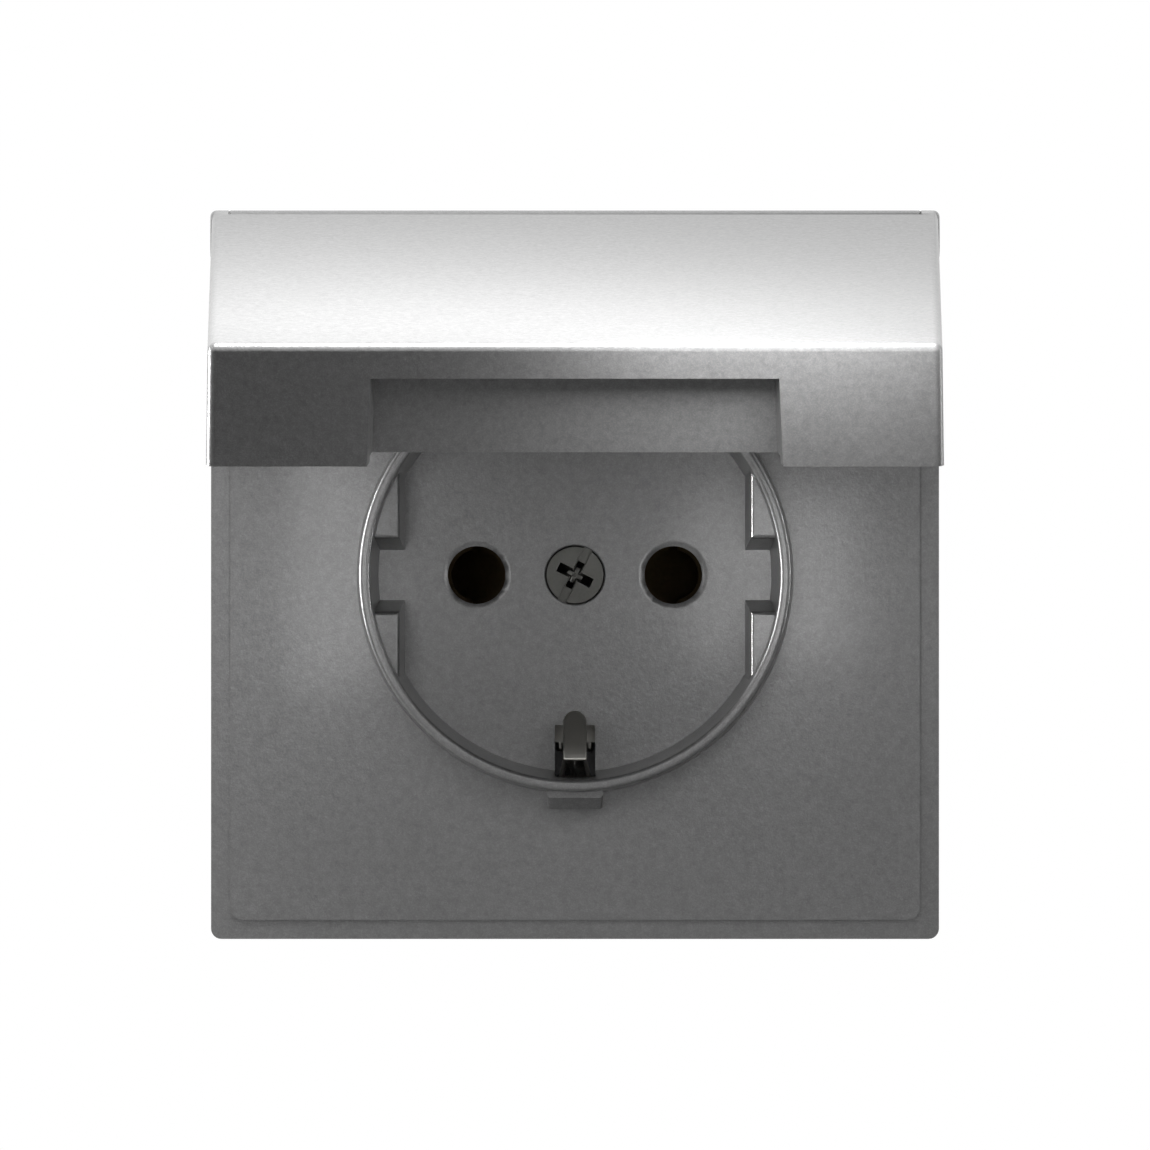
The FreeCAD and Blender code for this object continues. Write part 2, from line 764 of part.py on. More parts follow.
def terminal_screw_y(upright):
    """Depth of a terminal screw."""
    if upright:
        return strap_y + strap_thickness + terminal_depth / 2
    return sleeve_back_y - terminal_depth / 2


def terminal_spots():
    """Name, sideways place and outward reach of the three terminals."""
    side = terminal_offset + terminal_width / 2
    top = earth_terminal_z() + terminal_width / 2
    return {"live": (-1, side, False), "neutral": (1, side, False), "earth": (1, top, True)}


def base_ways():
    """Ways through the rear housing: terminal screws, wires and housing screws."""
    ways = [terminal_bar(side, upright, terminal_screw_head_radius + pocket_gap, face, half_plate)
            for side, face, upright in terminal_spots().values()]
    for x, z in wire_places():
        ways.append(cone(x, z, wire_radius, 2 * wire_radius, base_back_y - base_back_wall,
                         base_back_y))
        ways.append(post(x, z, wire_radius, base_front_y + strap_thickness + terminal_depth / 2,
                         base_back_y))
    ways += base_screw_bars(base_screw_radius, base_front_y, base_back_y)
    ways += base_screw_bars(base_screw_head_radius, base_back_y - base_screw_head_height,
                            base_back_y)
    return ways


def insert_base():
    """Rear housing: a tray with wire entries and screw ways."""
    room = base_block(base_wall, base_back_y - base_back_wall)
    return base_block(0, base_back_y).cut([room] + base_ways()).removeSplitter()


def contact_carrier():
    """Inner block with the pockets that hold contacts, terminals and earth strap."""
    block = base_block(base_wall + carrier_gap, base_back_y - base_back_wall)
    pockets = [contact_pocket(-1), contact_pocket(1), strap_pocket()]
    return block.cut(pockets + base_ways()).removeSplitter()


def wire_places():
    """Where the three wires enter from behind."""
    return [(-terminal_offset, 0), (terminal_offset, 0), (0, earth_terminal_z())]


def pin_contact(side):
    """Slit sleeve that grips a plug pin, with its bus bar."""
    tube = post(pin_x, 0, sleeve_bore_radius + sleeve_wall, sleeve_y, sleeve_back_y)
    tube = tube.cut(post(pin_x, 0, sleeve_bore_radius, sleeve_y, sleeve_back_y))
    slit = box(pin_x - sleeve_slit / 2, pin_x + sleeve_slit / 2, sleeve_y,
               sleeve_back_y - busbar_width / 2, -half_plate, half_plate)
    bus = box(pin_x - sleeve_bore_radius, terminal_offset + terminal_width / 2,
              sleeve_back_y, sleeve_back_y + busbar_thickness,
              -busbar_width / 2, busbar_width / 2)
    contact = tube.cut(slit).fuse(bus)
    contact = contact.cut(post(terminal_offset, 0, wire_radius, sleeve_y, base_back_y))
    return contact if side > 0 else turned_about_recess(contact, 180)


def contact_spring(side):
    """Open steel ring that keeps the sleeve tight."""
    inner = sleeve_bore_radius + sleeve_wall
    front = sleeve_y + sleeve_slit
    ring = post(pin_x, 0, inner + spring_wall, front, front + spring_height)
    ring = ring.cut(post(pin_x, 0, inner, front, front + spring_height))
    ring = ring.cut(box(pin_x - half_plate, pin_x, front, front + spring_height,
                        -sleeve_slit, sleeve_slit))
    return ring if side > 0 else turned_about_recess(ring, 180)


def terminal_block(name):
    """Brass block with a way for the wire and a tapped way for its screw."""
    side, face, upright = terminal_spots()[name]
    half = terminal_width / 2
    if upright:
        front = strap_y + strap_thickness
        middle = (0, earth_terminal_z())
    else:
        front = sleeve_back_y - terminal_depth
        middle = (side * terminal_offset, 0)
    block = box(middle[0] - half, middle[0] + half, front, front + terminal_depth,
                middle[1] - half, middle[1] + half)
    wire = post(middle[0], middle[1], wire_radius, front + terminal_width / 4,
                front + terminal_depth)
    tapped = terminal_bar(side, upright, terminal_screw_radius, face - terminal_screw_length, face)
    return block.cut(wire).cut(tapped)


def terminal_screw_piece(name):
    """Slotted screw of one terminal."""
    side, face, upright = terminal_spots()[name]
    shank = terminal_bar(side, upright, terminal_screw_radius, face - terminal_screw_length, face)
    top = face + terminal_screw_head_height
    head = terminal_bar(side, upright, terminal_screw_head_radius, face, top)
    half = terminal_screw_radius / 4
    y = terminal_screw_y(upright)
    reach = 2 * terminal_screw_head_radius
    floor = face + terminal_screw_head_height / 2
    if upright:
        slot = box(-reach, reach, y - half, y + half, floor, top)
    else:
        low, high = sorted((side * floor, side * top))
        slot = box(low, high, y - half, y + half, -reach, reach)
    return shank.fuse(head).cut(slot)


def clip_profile():
    """Side view of one earth clip from the strap to its seat in the wall slot."""
    rise = floor_y - collar_top_y
    tip_y = floor_y - rise * clip_tip_height
    fold_y = floor_y - rise * clip_fold_height
    end_y = fold_y - (clip_facet_end - clip_fold) / 2
    seat = collar_top_radius - collar_skin - clip_end_gap
    step = strap_thickness
    inside = [
        (strap_y, nut_radius), (strap_y, clip_fold), (tip_y, clip_tip), (fold_y, clip_fold),
        (end_y, clip_facet_end), (end_y - step, seat),
    ]
    outside = [
        (end_y, seat), (end_y + step, clip_facet_end + step), (fold_y + step, clip_fold + step),
        (tip_y, clip_tip + clip_back_gap), (strap_y + step, clip_fold + step),
        (strap_y + step, nut_radius),
    ]
    return inside + outside


def clip():
    """One earth clip: narrow rounded tongue that widens to its feet."""
    half, foot = clip_width / 2, clip_foot_width / 2
    seat = collar_top_radius - collar_skin
    strip = side_prism(clip_profile(), -foot, foot)
    tongue = front_prism([
        (-half, clip_tip + half), (half, clip_tip + half), (half, clip_facet_end),
        (foot, seat), (-foot, seat), (-half, clip_facet_end),
    ], collar_top_y, strap_y)
    tip = post(0, clip_tip + half, half, collar_top_y, strap_y)
    strap_part = strip.common(box(-foot, foot, strap_y, strap_y + strap_thickness, 0, half_plate))
    return strip.common(tongue.fuse(tip)).fuse(strap_part)


def earth_bracket():
    """One strap with both clips and the tapped boss for the centre screw."""
    half = strap_width / 2
    strap = box(-half, half, strap_y, strap_y + strap_thickness, -clip_fold, clip_fold)
    boss = post(0, 0, nut_radius, strap_y, strap_y + nut_height)
    body = strap.fuse([boss, clip(), turned_about_recess(clip(), 180)])
    tail = box(-half, half, strap_y, strap_y + strap_thickness, clip_fold,
               earth_terminal_z() + terminal_width / 2)
    bore = post(0, 0, screw_shank_radius, strap_y, strap_y + nut_height)
    return body.fuse(tail).cut(bore).removeSplitter()


def centre_screw():
    """Screw that holds the cover plate, with a combined slot and cross recess."""
    radius = screw_head_radius
    head = post(0, 0, radius, floor_y, floor_y + screw_head_height)
    shank = post(0, 0, screw_shank_radius, floor_y, floor_y + screw_length)
    half = screw_slot_width / 2
    slot = box(-half, half, floor_y, floor_y + screw_slot_depth, -radius, radius)
    arm = screw_cross_length / 2
    cross = box(-arm, arm, floor_y, floor_y + screw_cross_depth, -half, half)
    deep = box(-half, half, floor_y, floor_y + screw_cross_depth, -arm, arm)
    bottom = floor_y + screw_cross_depth
    point = cone(0, 0, 0, screw_point_radius, bottom - screw_point_radius, bottom)
    recess = slot.fuse([cross, deep]).cut(point)
    return head.fuse(shank).cut(turned_about_recess(recess, -screw_turn))


def cup_seal():
    """Soft ring that closes the gap between cup and front housing."""
    front = ring_back_y
    back = front + 2 * gasket_thickness
    ring = post(0, 0, housing_inner_radius, front, back)
    return ring.cut(post(0, 0, cup_outer_radius, front, back))


def main():
    os.makedirs("parts", exist_ok=True)
    save("cover_plate", cover_plate())
    save("lid", opened(lid()))
    save("lid_seal", opened(lid_seal()))
    save("centre_screw", centre_screw())
    save("support_ring", support_ring())
    save("ring_rivets", rivets())
    save("rear_gasket", rear_gasket())
    save("cup_seal", cup_seal())
    save("insert_front", insert_front())
    save("insert_base", insert_base())
    save("contact_carrier", contact_carrier())
    save("base_screws", base_screws())
    save("earth_bracket", earth_bracket())
    for side, end in ((-1, "left"), (1, "right")):
        save("hinge_pin_" + end, hinge_pin(side))
    for side, name in ((-1, "live"), (1, "neutral")):
        save(name + "_contact", pin_contact(side))
        save(name + "_contact_spring", contact_spring(side))
    for name in terminal_spots():
        save(name + "_terminal", terminal_block(name))
        save(name + "_terminal_screw", terminal_screw_piece(name))


main()
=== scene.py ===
"""Wall socket with a hinged splash lid: moulded parts, metal parts, finishes and stage."""
import json
import math

import bpy
from bpy.props import FloatProperty, FloatVectorProperty, PointerProperty
from mathutils import Matrix, Vector


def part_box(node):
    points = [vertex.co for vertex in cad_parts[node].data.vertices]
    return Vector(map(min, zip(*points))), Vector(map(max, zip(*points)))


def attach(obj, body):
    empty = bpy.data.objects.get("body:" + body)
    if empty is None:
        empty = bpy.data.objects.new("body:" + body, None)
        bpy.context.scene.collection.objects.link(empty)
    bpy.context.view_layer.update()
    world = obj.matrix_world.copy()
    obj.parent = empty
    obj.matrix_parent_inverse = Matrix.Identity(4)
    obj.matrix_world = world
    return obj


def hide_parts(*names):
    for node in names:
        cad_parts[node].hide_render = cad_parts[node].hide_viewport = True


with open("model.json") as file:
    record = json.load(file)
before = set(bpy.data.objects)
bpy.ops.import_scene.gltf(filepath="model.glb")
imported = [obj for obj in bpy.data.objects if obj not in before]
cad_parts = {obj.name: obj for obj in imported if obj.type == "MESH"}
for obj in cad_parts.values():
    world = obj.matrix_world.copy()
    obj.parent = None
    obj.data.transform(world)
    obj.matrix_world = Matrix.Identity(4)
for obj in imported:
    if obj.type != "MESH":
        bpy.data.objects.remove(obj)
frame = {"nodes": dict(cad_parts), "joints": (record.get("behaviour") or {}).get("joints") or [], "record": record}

bl_info = {
    "name": "Wall socket with splash lid",
    "version": (1, 0, 0),
    "blender": (4, 5, 0),
    "location": "View3D > Sidebar > Wall Socket",
    "description": "Builds a flush wall socket with a round plug recess and a hinged lid",
    "category": "Object",
}

MM = 0.001
X, Y, Z = range(3)
WHITE = (1, 1, 1, 1)

# How close places, lengths and directions have to be to count as the same.
TOUCH = 0.0001 * MM
MERGE = 0.001 * MM
SAME_LENGTH = 0.005 * MM
ALONG_SHARE = 0.999
FACING = 0.9

# Angles between faces that stay flat, are shaded as one and get a rounded edge.
FLAT_ANGLE = math.radians(0.5)
SMOOTH_ANGLE = math.radians(32)
SHARP_ANGLE = math.radians(35)
FLAT_FACE_WEIGHT = 80

HINGE = frame["joints"][0]
HINGE_POINT = Vector(HINGE["pos_m"])
REST_ANGLE = -math.radians(HINGE["range_deg"][0])
PLATE_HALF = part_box("cover_plate")[1].x

# Sides of the round forms.
RECESS_SIDES = 160
RING_SIDES = 128
BARREL_SIDES = 96
SMALL_SIDES = 64

# Name, place, point it faces, width and height, power, gives soft light, shows in gloss.
LAMPS = (
    ("left_strip", (-0.26, -0.115, 0.06), (0, 0, 0), (0.03, 0.07), 0.08, True, True),
    ("left_edge", (-0.24, -0.026, 0.02), (0, -0.015, 0), (0.006, 0.16), 0.7, False, True),
    ("left_pad_edge", (-0.24, -0.045, 0.0), (0, -0.015, 0), (0.02, 0.006), 0.4, False, True),
    ("right_edge", (0.24, -0.03, 0.02), (0, -0.015, 0), (0.006, 0.16), 0.15, False, True),
    ("left_glow", (-0.0235, -0.066, 0.004), (-0.0235, 0, 0), (0.008, 0.03), 0.0034, True, True),
    ("right_glow", (0.019, -0.066, 0.0), (0.019, 0, 0), (0.016, 0.016), 0.0034, True, True),
    ("lid_end_glow", (0.02, -0.094, 0.027), (0.02, -0.08, 0.019), (0.034, 0.01), 0.024,
     True, False),
    ("lid_top_strip", (-0.01, -0.085, 0.06), (-0.01, -0.07, 0.03), (0.09, 0.01), 0.225,
     True, False),
    ("lid_left_glow", (-0.03, -0.055, 0.075), (-0.03, -0.055, 0.03), (0.03, 0.03), 0.045,
     True, False),
    ("lid_edge", (0, -0.13, 0.2), (0, -0.08, 0.02), (0.12, 0.01), 1.2, False, True),
)


def length(name, description, millimetres):
    """A length that the user can change, given in millimetres."""
    return FloatProperty(name=name, description=description, default=millimetres * MM,
                         unit="LENGTH", precision=5)


def colour(name, description, value):
    """A surface colour that the user can change."""
    return FloatVectorProperty(name=name, description=description, default=value,
                               subtype="COLOR", size=3, min=0.0, max=1.0)


class SocketPlateSizes(bpy.types.PropertyGroup):
    """Sizes of the cover plate, its collar and its recess."""
    ledge_depth: length("Ledge depth", "How far the ledge stands in front of the wall", 6.0)
    ledge_width: length("Ledge width", "Width of the ledge that the lid closes on", 1.85)
    platform_height: length("Platform height", "Height of the raised field", 0.7)
    corner_radius: length("Corner radius", "Rounding of the plate's corners", 1.0)
    wall: length("Wall", "Wall of the moulded plate", 1.8)
    skirt_wall: length("Skirt wall", "Wall of the plate's side faces", 1.2)
    back_gap: length("Back gap", "Space between the plate's skirt and the wall", 0.2)
    strip_top: length("Strip top", "Height at which the side ledges end", 28.7)
    notch_depth: length("Notch depth", "Depth of the arm notches below the ledge", 1.6)
    block_side: length("Block side", "Half the width of the fixed hinge block", 33.15)
    collar_height: length("Collar height", "Height of the round collar", 7.8)
    collar_foot: length("Collar foot", "Outer radius of the collar at its foot", 21.1)
    collar_top: length("Collar top", "Outer radius of the collar at its top", 20.85)
    collar_edge: length("Collar edge", "Rounding of the collar's edges", 0.42)
    mouth_radius: length("Mouth radius", "Radius of the recess at its mouth", 19.75)
    floor_radius: length("Floor radius", "Radius of the recess at its floor", 18.97)
    recess_depth: length("Recess depth", "Depth from the collar to the floor", 17.5)
    floor_wall: length("Floor wall", "Thickness of the recess floor", 1.8)
    boss_height: length("Boss height", "Height of the screw boss behind the floor", 1.6)
    boss_radius: length("Boss radius", "Radius of the screw boss", 4.875)
    pin_offset: length("Pin offset", "Distance of a pin hole from the middle", 9.5)
    pin_radius: length("Pin hole radius", "Radius of a pin hole", 2.785)
    pin_rim: length("Pin hole rim", "Outer radius of the bevel round a pin hole", 3.4)
    pin_bevel: length("Pin hole bevel", "Depth of the bevel round a pin hole", 0.22)
    pad_foot: length("Pad foot", "Distance of a guide pad's foot from the middle", 16.4)
    pad_top: length("Pad top", "Distance of a guide pad's top edge from the middle", 16.9)
    pad_drop: length("Pad drop", "Depth of the pad tops below the collar", 3.45)
    groove_foot: length("Groove foot", "Half width of the pad groove at the floor", 2.42)
    groove_top: length("Groove top", "Half width of the pad groove at its top", 3.6)
    slot_half: length("Earth slot half width", "Half width of the slot for an earth clip", 1.95)
    slot_start: length("Earth slot start", "Where the slot starts from the middle", 14.5)
    slot_drop: length("Earth slot drop", "Depth of the slot's top below the collar", 5.0)
    catch_half: length("Catch half width", "Half width of the catch nose", 2.7)
    catch_reach: length("Catch reach", "Reach of the catch nose from the middle", 22.55)
    catch_flat: length("Catch flat", "Where the catch nose starts to slope", 21.46)
    catch_height: length("Catch height", "Height of the catch above the platform", 5.4)


class SocketLidSizes(bpy.types.PropertyGroup):
    """Sizes of the hinged lid."""
    depth: length("Lid depth", "Depth from the rim to the outer face", 11.9)
    draft: length("Lid draft", "How much each side leans in towards the face", 0.17)
    face_wall: length("Face wall", "Thickness of the lid's face", 1.8)
    side_wall: length("Side wall", "Thickness of the lid's sides", 1.65)
    rim_gap: length("Rim gap", "Gap between rim and ledge when shut", 0.1)
    edge_radius: length("Edge radius", "Rounding of the lid's outer edges", 0.85)
    barrel_radius: length("Barrel radius", "Radius of the hinge barrel", 2.5)
    setback: length("Setback", "Distance from the face to the hinge axis", 2.7)
    barrel_gap: length("Barrel gap", "Gap between the lid's end and the barrel", 0.25)
    arm_wall: length("Arm wall", "Thickness of a lid arm", 1.75)
    arm_edge: length("Arm edge", "Rounding of a lid arm's round end", 0.6)
    arm_foot: length("Arm foot", "Where an arm starts below the hinge axis", 4.4)
    finger_half: length("Finger half width", "Half width of the finger pocket at its top", 19.57)
    finger_rim: length("Finger rim", "Half width of the finger pocket at the rim", 19.97)
    finger_height: length("Finger height", "Height of the finger pocket", 8.485)
    finger_depth: length("Finger depth", "Depth of the finger pocket", 3.45)
    finger_slant: length("Finger slant", "How much the pocket narrows inwards", 0.6)
    finger_wall: length("Finger wall", "Wall round the finger pocket", 1.6)
    hook_half: length("Hook half width", "Half width of the hook", 2.2)
    hook_inner: length("Hook inner", "Distance of the hook's nose from the middle", 22.67)
    hook_nose: length("Hook nose", "How far the hook's nose stands in", 0.45)
    hook_wall: length("Hook wall", "Thickness of the hook", 1.2)
    seal_inner: length("Seal inner radius", "Inner radius of the soft ring", 19.45)
    seal_outer: length("Seal outer radius", "Outer radius of the soft ring", 21.15)
    seal_gap: length("Seal gap", "Gap between soft ring and collar when shut", 0.15)
    rib_wall: length("Rib wall", "Thickness of the ribs that hold the seal", 0.7)
    rib_height: length("Rib height", "Height of the ribs that hold the seal", 0.8)


class SocketColours(bpy.types.PropertyGroup):
    """Colours of the finishes."""
    lacquer: colour("Lacquer", "Anthracite lacquer of plate and lid", (0.155, 0.155, 0.155))
    flake: colour("Flake", "Bright flakes in the lacquer", (0.185, 0.185, 0.185))
    screw: colour("Screw", "Black-zinc screw", (0.075, 0.075, 0.07))
    clip: colour("Clip", "Nickel plated earth strip", (0.7, 0.67, 0.6))
    zinc: colour("Zinc", "Zinc plated sheet", (0.52, 0.53, 0.54))
    brass: colour("Brass", "Brass terminals", (0.62, 0.42, 0.16))
    # The contacts' brass is painted far darker than the terminals' brass: painted shade deep in the pin holes.
    shaded_contact: colour("Contact", "Dull brass of the contacts", (0.07, 0.05, 0.028))
    steel: colour("Steel", "Bright steel screws and pins", (0.5, 0.5, 0.5))
    rubber: colour("Rubber", "Soft seals", (0.02, 0.02, 0.021))
    # Dark grey, kept dark so that the housing seen through the earth slots gives the shade there: the housing's
    # tone and painted shade.
    housing: colour("Housing", "Dark grey housing", (0.07, 0.07, 0.073))


def start_clean():
    """Leave edit mode and select nothing."""
    if bpy.context.object and bpy.context.object.mode != "OBJECT":
        bpy.ops.object.mode_set(mode="OBJECT")
    bpy.ops.object.select_all(action="DESELECT")


def only(piece):
    """Make one piece the only selected and active one."""
    start_clean()
    piece.select_set(True)
    bpy.context.view_layer.objects.active = piece


def block(name, low, high):
    """A block between two corners."""
    start_clean()
    low, high = Vector(low), Vector(high)
    bpy.ops.mesh.primitive_cube_add(size=1, location=(low + high) / 2)
    piece = bpy.context.object
    piece.name = name
    piece.scale = high - low
    bpy.ops.object.transform_apply(location=True, rotation=True, scale=True)
    return piece


def rod(name, start, end, radius, sides=SMALL_SIDES, end_radius=None):
    """A round bar or taper between two points on a line along an axis."""
    start_clean()
    start, end = Vector(start), Vector(end)
    turn = Vector((0, 0, 1)).rotation_difference(end - start).to_euler()
    bpy.ops.mesh.primitive_cone_add(vertices=sides, radius1=radius,
                                    radius2=radius if end_radius is None else end_radius,
                                    depth=(end - start).length, location=(start + end) / 2,
                                    rotation=turn)
    piece = bpy.context.object
    piece.name = name
    bpy.ops.object.transform_apply(location=True, rotation=True, scale=True)
    return piece


def pick(piece, element, test):
    """Enter edit mode with the vertices, edges or faces whose middle passes a test."""
    only(piece)
    bpy.ops.object.mode_set(mode="EDIT")
    bpy.ops.mesh.select_mode(type=element)
    bpy.ops.mesh.select_all(action="DESELECT")
    leave_edit()
    mesh = piece.data
    if element == "VERT":
        for vertex in mesh.vertices:
            vertex.select = test(vertex.co)
    elif element == "EDGE":
        for edge in mesh.edges:
            first, second = (mesh.vertices[index].co for index in edge.vertices)
            edge.select = test((first + second) / 2, second - first)
    else:
        for face in mesh.polygons:
            face.select = test(face.center, face.normal)
    bpy.ops.object.mode_set(mode="EDIT")


def pick_all(piece):
    """Enter edit mode with the whole piece selected."""
    only(piece)
    bpy.ops.object.mode_set(mode="EDIT")
    bpy.ops.mesh.select_all(action="SELECT")


def leave_edit():
    """Back to object mode."""
    bpy.ops.object.mode_set(mode="OBJECT")


def round_edges(piece, width, test, segments=4):
    """Round the edges whose middle and direction pass a test."""
    pick(piece, "EDGE", test)
    bpy.ops.mesh.bevel(offset=width, offset_type="OFFSET", segments=segments,
                       affect="EDGES", clamp_overlap=True)
    leave_edit()


def squeeze(piece, test, factor, centre):
    """Scale the vertices that pass a test about a centre."""
    pick(piece, "VERT", test)
    bpy.ops.transform.resize(value=factor, center_override=centre)
    leave_edit()


def shift(piece, test, move):
    """Move the vertices that pass a test."""
    pick(piece, "VERT", test)
    bpy.ops.transform.translate(value=move)
    leave_edit()


def apply_modifier(piece, kind, **settings):
    """Add a modifier, set it and apply it."""
    only(piece)
    modifier = piece.modifiers.new(kind.title(), kind)
    for name, value in settings.items():
        setattr(modifier, name, value)
    bpy.ops.object.modifier_apply(modifier=modifier.name)


def combine(piece, tools, operation):
    """Join, cut or trim a piece with helper shapes, which are used up."""
    for tool in tools:
        apply_modifier(piece, "BOOLEAN", object=tool, operation=operation, solver="EXACT")
        bpy.data.objects.remove(tool, do_unlink=True)


def tangent_point(start, radius, turn):
    """Where a line from a point, given as depth and height from the hinge, meets the barrel."""
    angle = math.atan2(start[1], start[0]) + turn * math.acos(radius / math.hypot(*start))
    return radius * math.cos(angle), radius * math.sin(angle)


def slice_off(piece, start, end):
    """Cut away what lies above a line across the side view, both ends given from the hinge."""
    pick_all(piece)
    across = Vector((0, end[1] - start[1], start[0] - end[0])).normalized()
    point = HINGE_POINT + Vector((0, start[0], start[1]))
    bpy.ops.mesh.bisect(plane_co=point, plane_no=across, use_fill=True, clear_outer=True,
                        threshold=TOUCH)
    leave_edit()


def near(value, target):
    """True where two lengths are the same but for rounding."""
    return abs(value - target) < SAME_LENGTH


def along(direction, axis):
    """True where a direction runs along one axis."""
    return abs(direction[axis]) > ALONG_SHARE * direction.length


def at(axis, value):
    """Test for what lies at one place along an axis."""
    return lambda place, *rest: near(place[axis], value)


def runs_along(axis):
    """Test for edges that run along an axis."""
    return lambda middle, run: along(run, axis)


def faces_down(axis):
    """Test for faces that look towards the low end of an axis."""
    return lambda centre, normal: normal[axis] < -FACING


def soften(piece, width, segments=2, clamp=True):
    """Small rounding on every sharp edge that is left, with even shading."""
    apply_modifier(piece, "BEVEL", width=width, segments=segments, limit_method="ANGLE",
                   angle_limit=SHARP_ANGLE, use_clamp_overlap=clamp, loop_slide=True,
                   miter_outer="MITER_SHARP")
    even_shading(piece)


def even_shading(piece):
    """Smooth shading that keeps flat faces flat."""
    only(piece)
    bpy.ops.object.shade_smooth_by_angle(angle=SMOOTH_ANGLE)
    apply_modifier(piece, "WEIGHTED_NORMAL", keep_sharp=True, weight=FLAT_FACE_WEIGHT)


def settle(piece, body, nodes, material):
    """Give a finished piece its body, its nodes and its finish."""
    start_clean()
    piece.data.materials.clear()
    piece.data.materials.append(material)
    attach(piece, body)
    if nodes:
        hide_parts(*nodes)


def swung(piece):
    """Turn a lid piece from shut to the angle at which the lid stands."""
    turn = Matrix.Rotation(REST_ANGLE, 4, Vector((-1, 0, 0)))
    piece.data.transform(Matrix.Translation(HINGE_POINT) @ turn @ Matrix.Translation(-HINGE_POINT))


def add_node(tree, kind, inputs=(), **settings):
    """Add one node, set it up and link or set its inputs."""
    node = tree.nodes.new(kind)
    for name, value in settings.items():
        setattr(node, name, value)
    for name, value in dict(inputs).items():
        if isinstance(value, bpy.types.NodeSocket):
            tree.links.new(value, node.inputs[name])
        else:
            node.inputs[name].default_value = value
    return node


class Finish:
    """A procedural material under construction."""

    def __init__(self, name, **sockets):
        self.material = bpy.data.materials.new(name)
        self.material.use_nodes = True
        self.tree = self.material.node_tree
        self.shader = self.tree.nodes["Principled BSDF"]
        for socket, value in sockets.items():
            self.shader.inputs[socket.replace("_", " ")].default_value = value
        self.place = self.add("ShaderNodeTexCoord").outputs["Object"]

    def add(self, kind, inputs=(), **settings):
        """Add one node to this material."""
        return add_node(self.tree, kind, inputs, **settings)

    def noise(self, size, detail=3.0, stretch=(1, 1, 1), roughness=0.5):
        """Noise whose patches are about one size, in metres."""
        mapped = self.add("ShaderNodeMapping", {"Vector": self.place, "Scale": stretch})
        made = self.add("ShaderNodeTexNoise", {"Vector": mapped.outputs[0], "Scale": 1 / size,
                                               "Detail": detail, "Roughness": roughness})
        return made.outputs["Fac"]

    def cells(self, size):
        """Random value for each small cell of one size, in metres."""
        made = self.add("ShaderNodeTexVoronoi", {"Vector": self.place, "Scale": 1 / size})
        split = self.add("ShaderNodeSeparateColor", {"Color": made.outputs["Color"]})
        return split.outputs[0]

    def spread(self, value, low, high, start=0.3, end=0.7):
        """Map a pattern onto a range of values."""
        made = self.add("ShaderNodeMapRange", {"Value": value, "From Min": start,
                                               "From Max": end, "To Min": low, "To Max": high})
        return made.outputs[0]

    def blend(self, factor, first, second):
        """Mix two colours by a pattern."""
        first, second = (value if isinstance(value, bpy.types.NodeSocket) else (*value, 1.0)
                         for value in (first, second))
        made = self.add("ShaderNodeMix", {0: factor, 6: first, 7: second}, data_type="RGBA")
        return made.outputs[2]

    def bump(self, height, distance, strength=1.0):
        """Raise the surface by a pattern, by a distance in metres."""
        made = self.add("ShaderNodeBump", {"Height": height, "Distance": distance,
                                           "Strength": strength})
        self.tree.links.new(made.outputs[0], self.shader.inputs["Normal"])

    def feed(self, socket, value):
        """Link a pattern to a socket of the shader."""
        self.tree.links.new(value, self.shader.inputs[socket])


def toned_by(value, factor):
    """A colour made darker or lighter by a factor."""
    return tuple(min(1.0, channel * factor) for channel in value)


def lacquer_finish(colours):
    """Satin anthracite lacquer with fine metal flakes over a lightly grained moulding."""
    flake_size, drift_size, sheen_size = 0.1 * MM, 0.7 * MM, 0.4 * MM
    grain_size, grain_height = 0.5 * MM, 0.03 * MM
    finish = Finish("anthracite_lacquer", Metallic=0.5, IOR=1.5, Coat_Weight=0.5,
                    Coat_Roughness=0.15)
    flakes = finish.spread(finish.cells(flake_size), 0.0, 1.0, 0.4, 1.0)
    drift = finish.spread(finish.noise(drift_size, 4.0, roughness=0.65), 0.88, 1.12)
    base = finish.blend(flakes, colours.lacquer, colours.flake)
    toned = finish.add("ShaderNodeVectorMath", {0: base, "Scale": drift}, operation="SCALE")
    finish.feed("Base Color", toned.outputs[0])
    finish.feed("Roughness", finish.spread(finish.noise(sheen_size), 0.33, 0.4))
    finish.bump(finish.noise(grain_size, 3.0, roughness=0.7), grain_height)
    return finish.material


def metal_finish(name, tone, roughness, grain_size, stretch, height=0.004 * MM, metallic=1.0):
    """Metal with fine drawn or plated grain along one direction."""
    stain_size = 3 * MM
    finish = Finish(name, Metallic=metallic)
    streaks = finish.noise(grain_size, 4.0, stretch)
    stains = finish.noise(stain_size, 3.0)
    toned = finish.blend(finish.spread(stains, 0.0, 1.0), toned_by(tone, 0.82),
                         toned_by(tone, 1.15))
    finish.feed("Base Color", finish.blend(finish.spread(streaks, 0.0, 0.6), toned,
                                           toned_by(tone, 1.3)))
    finish.feed("Roughness", finish.spread(streaks, roughness - 0.08, roughness + 0.1))
    finish.bump(streaks, height)
    return finish.material


def rubber_finish(name, tone, pore_size):
    """Matt soft rubber with fine pores and a little bloom."""
    bloom_size, patch_size, pore_depth = 2.5 * MM, 0.6 * MM, 0.02 * MM
    finish = Finish(name, IOR=1.45)
    bloom = finish.spread(finish.noise(bloom_size), 0.0, 1.0)
    finish.feed("Base Color", finish.blend(bloom, tone, toned_by(tone, 1.8)))
    finish.feed("Roughness", finish.spread(finish.noise(patch_size), 0.62, 0.8))
    finish.bump(finish.cells(pore_size), pore_depth, 0.6)
    return finish.material


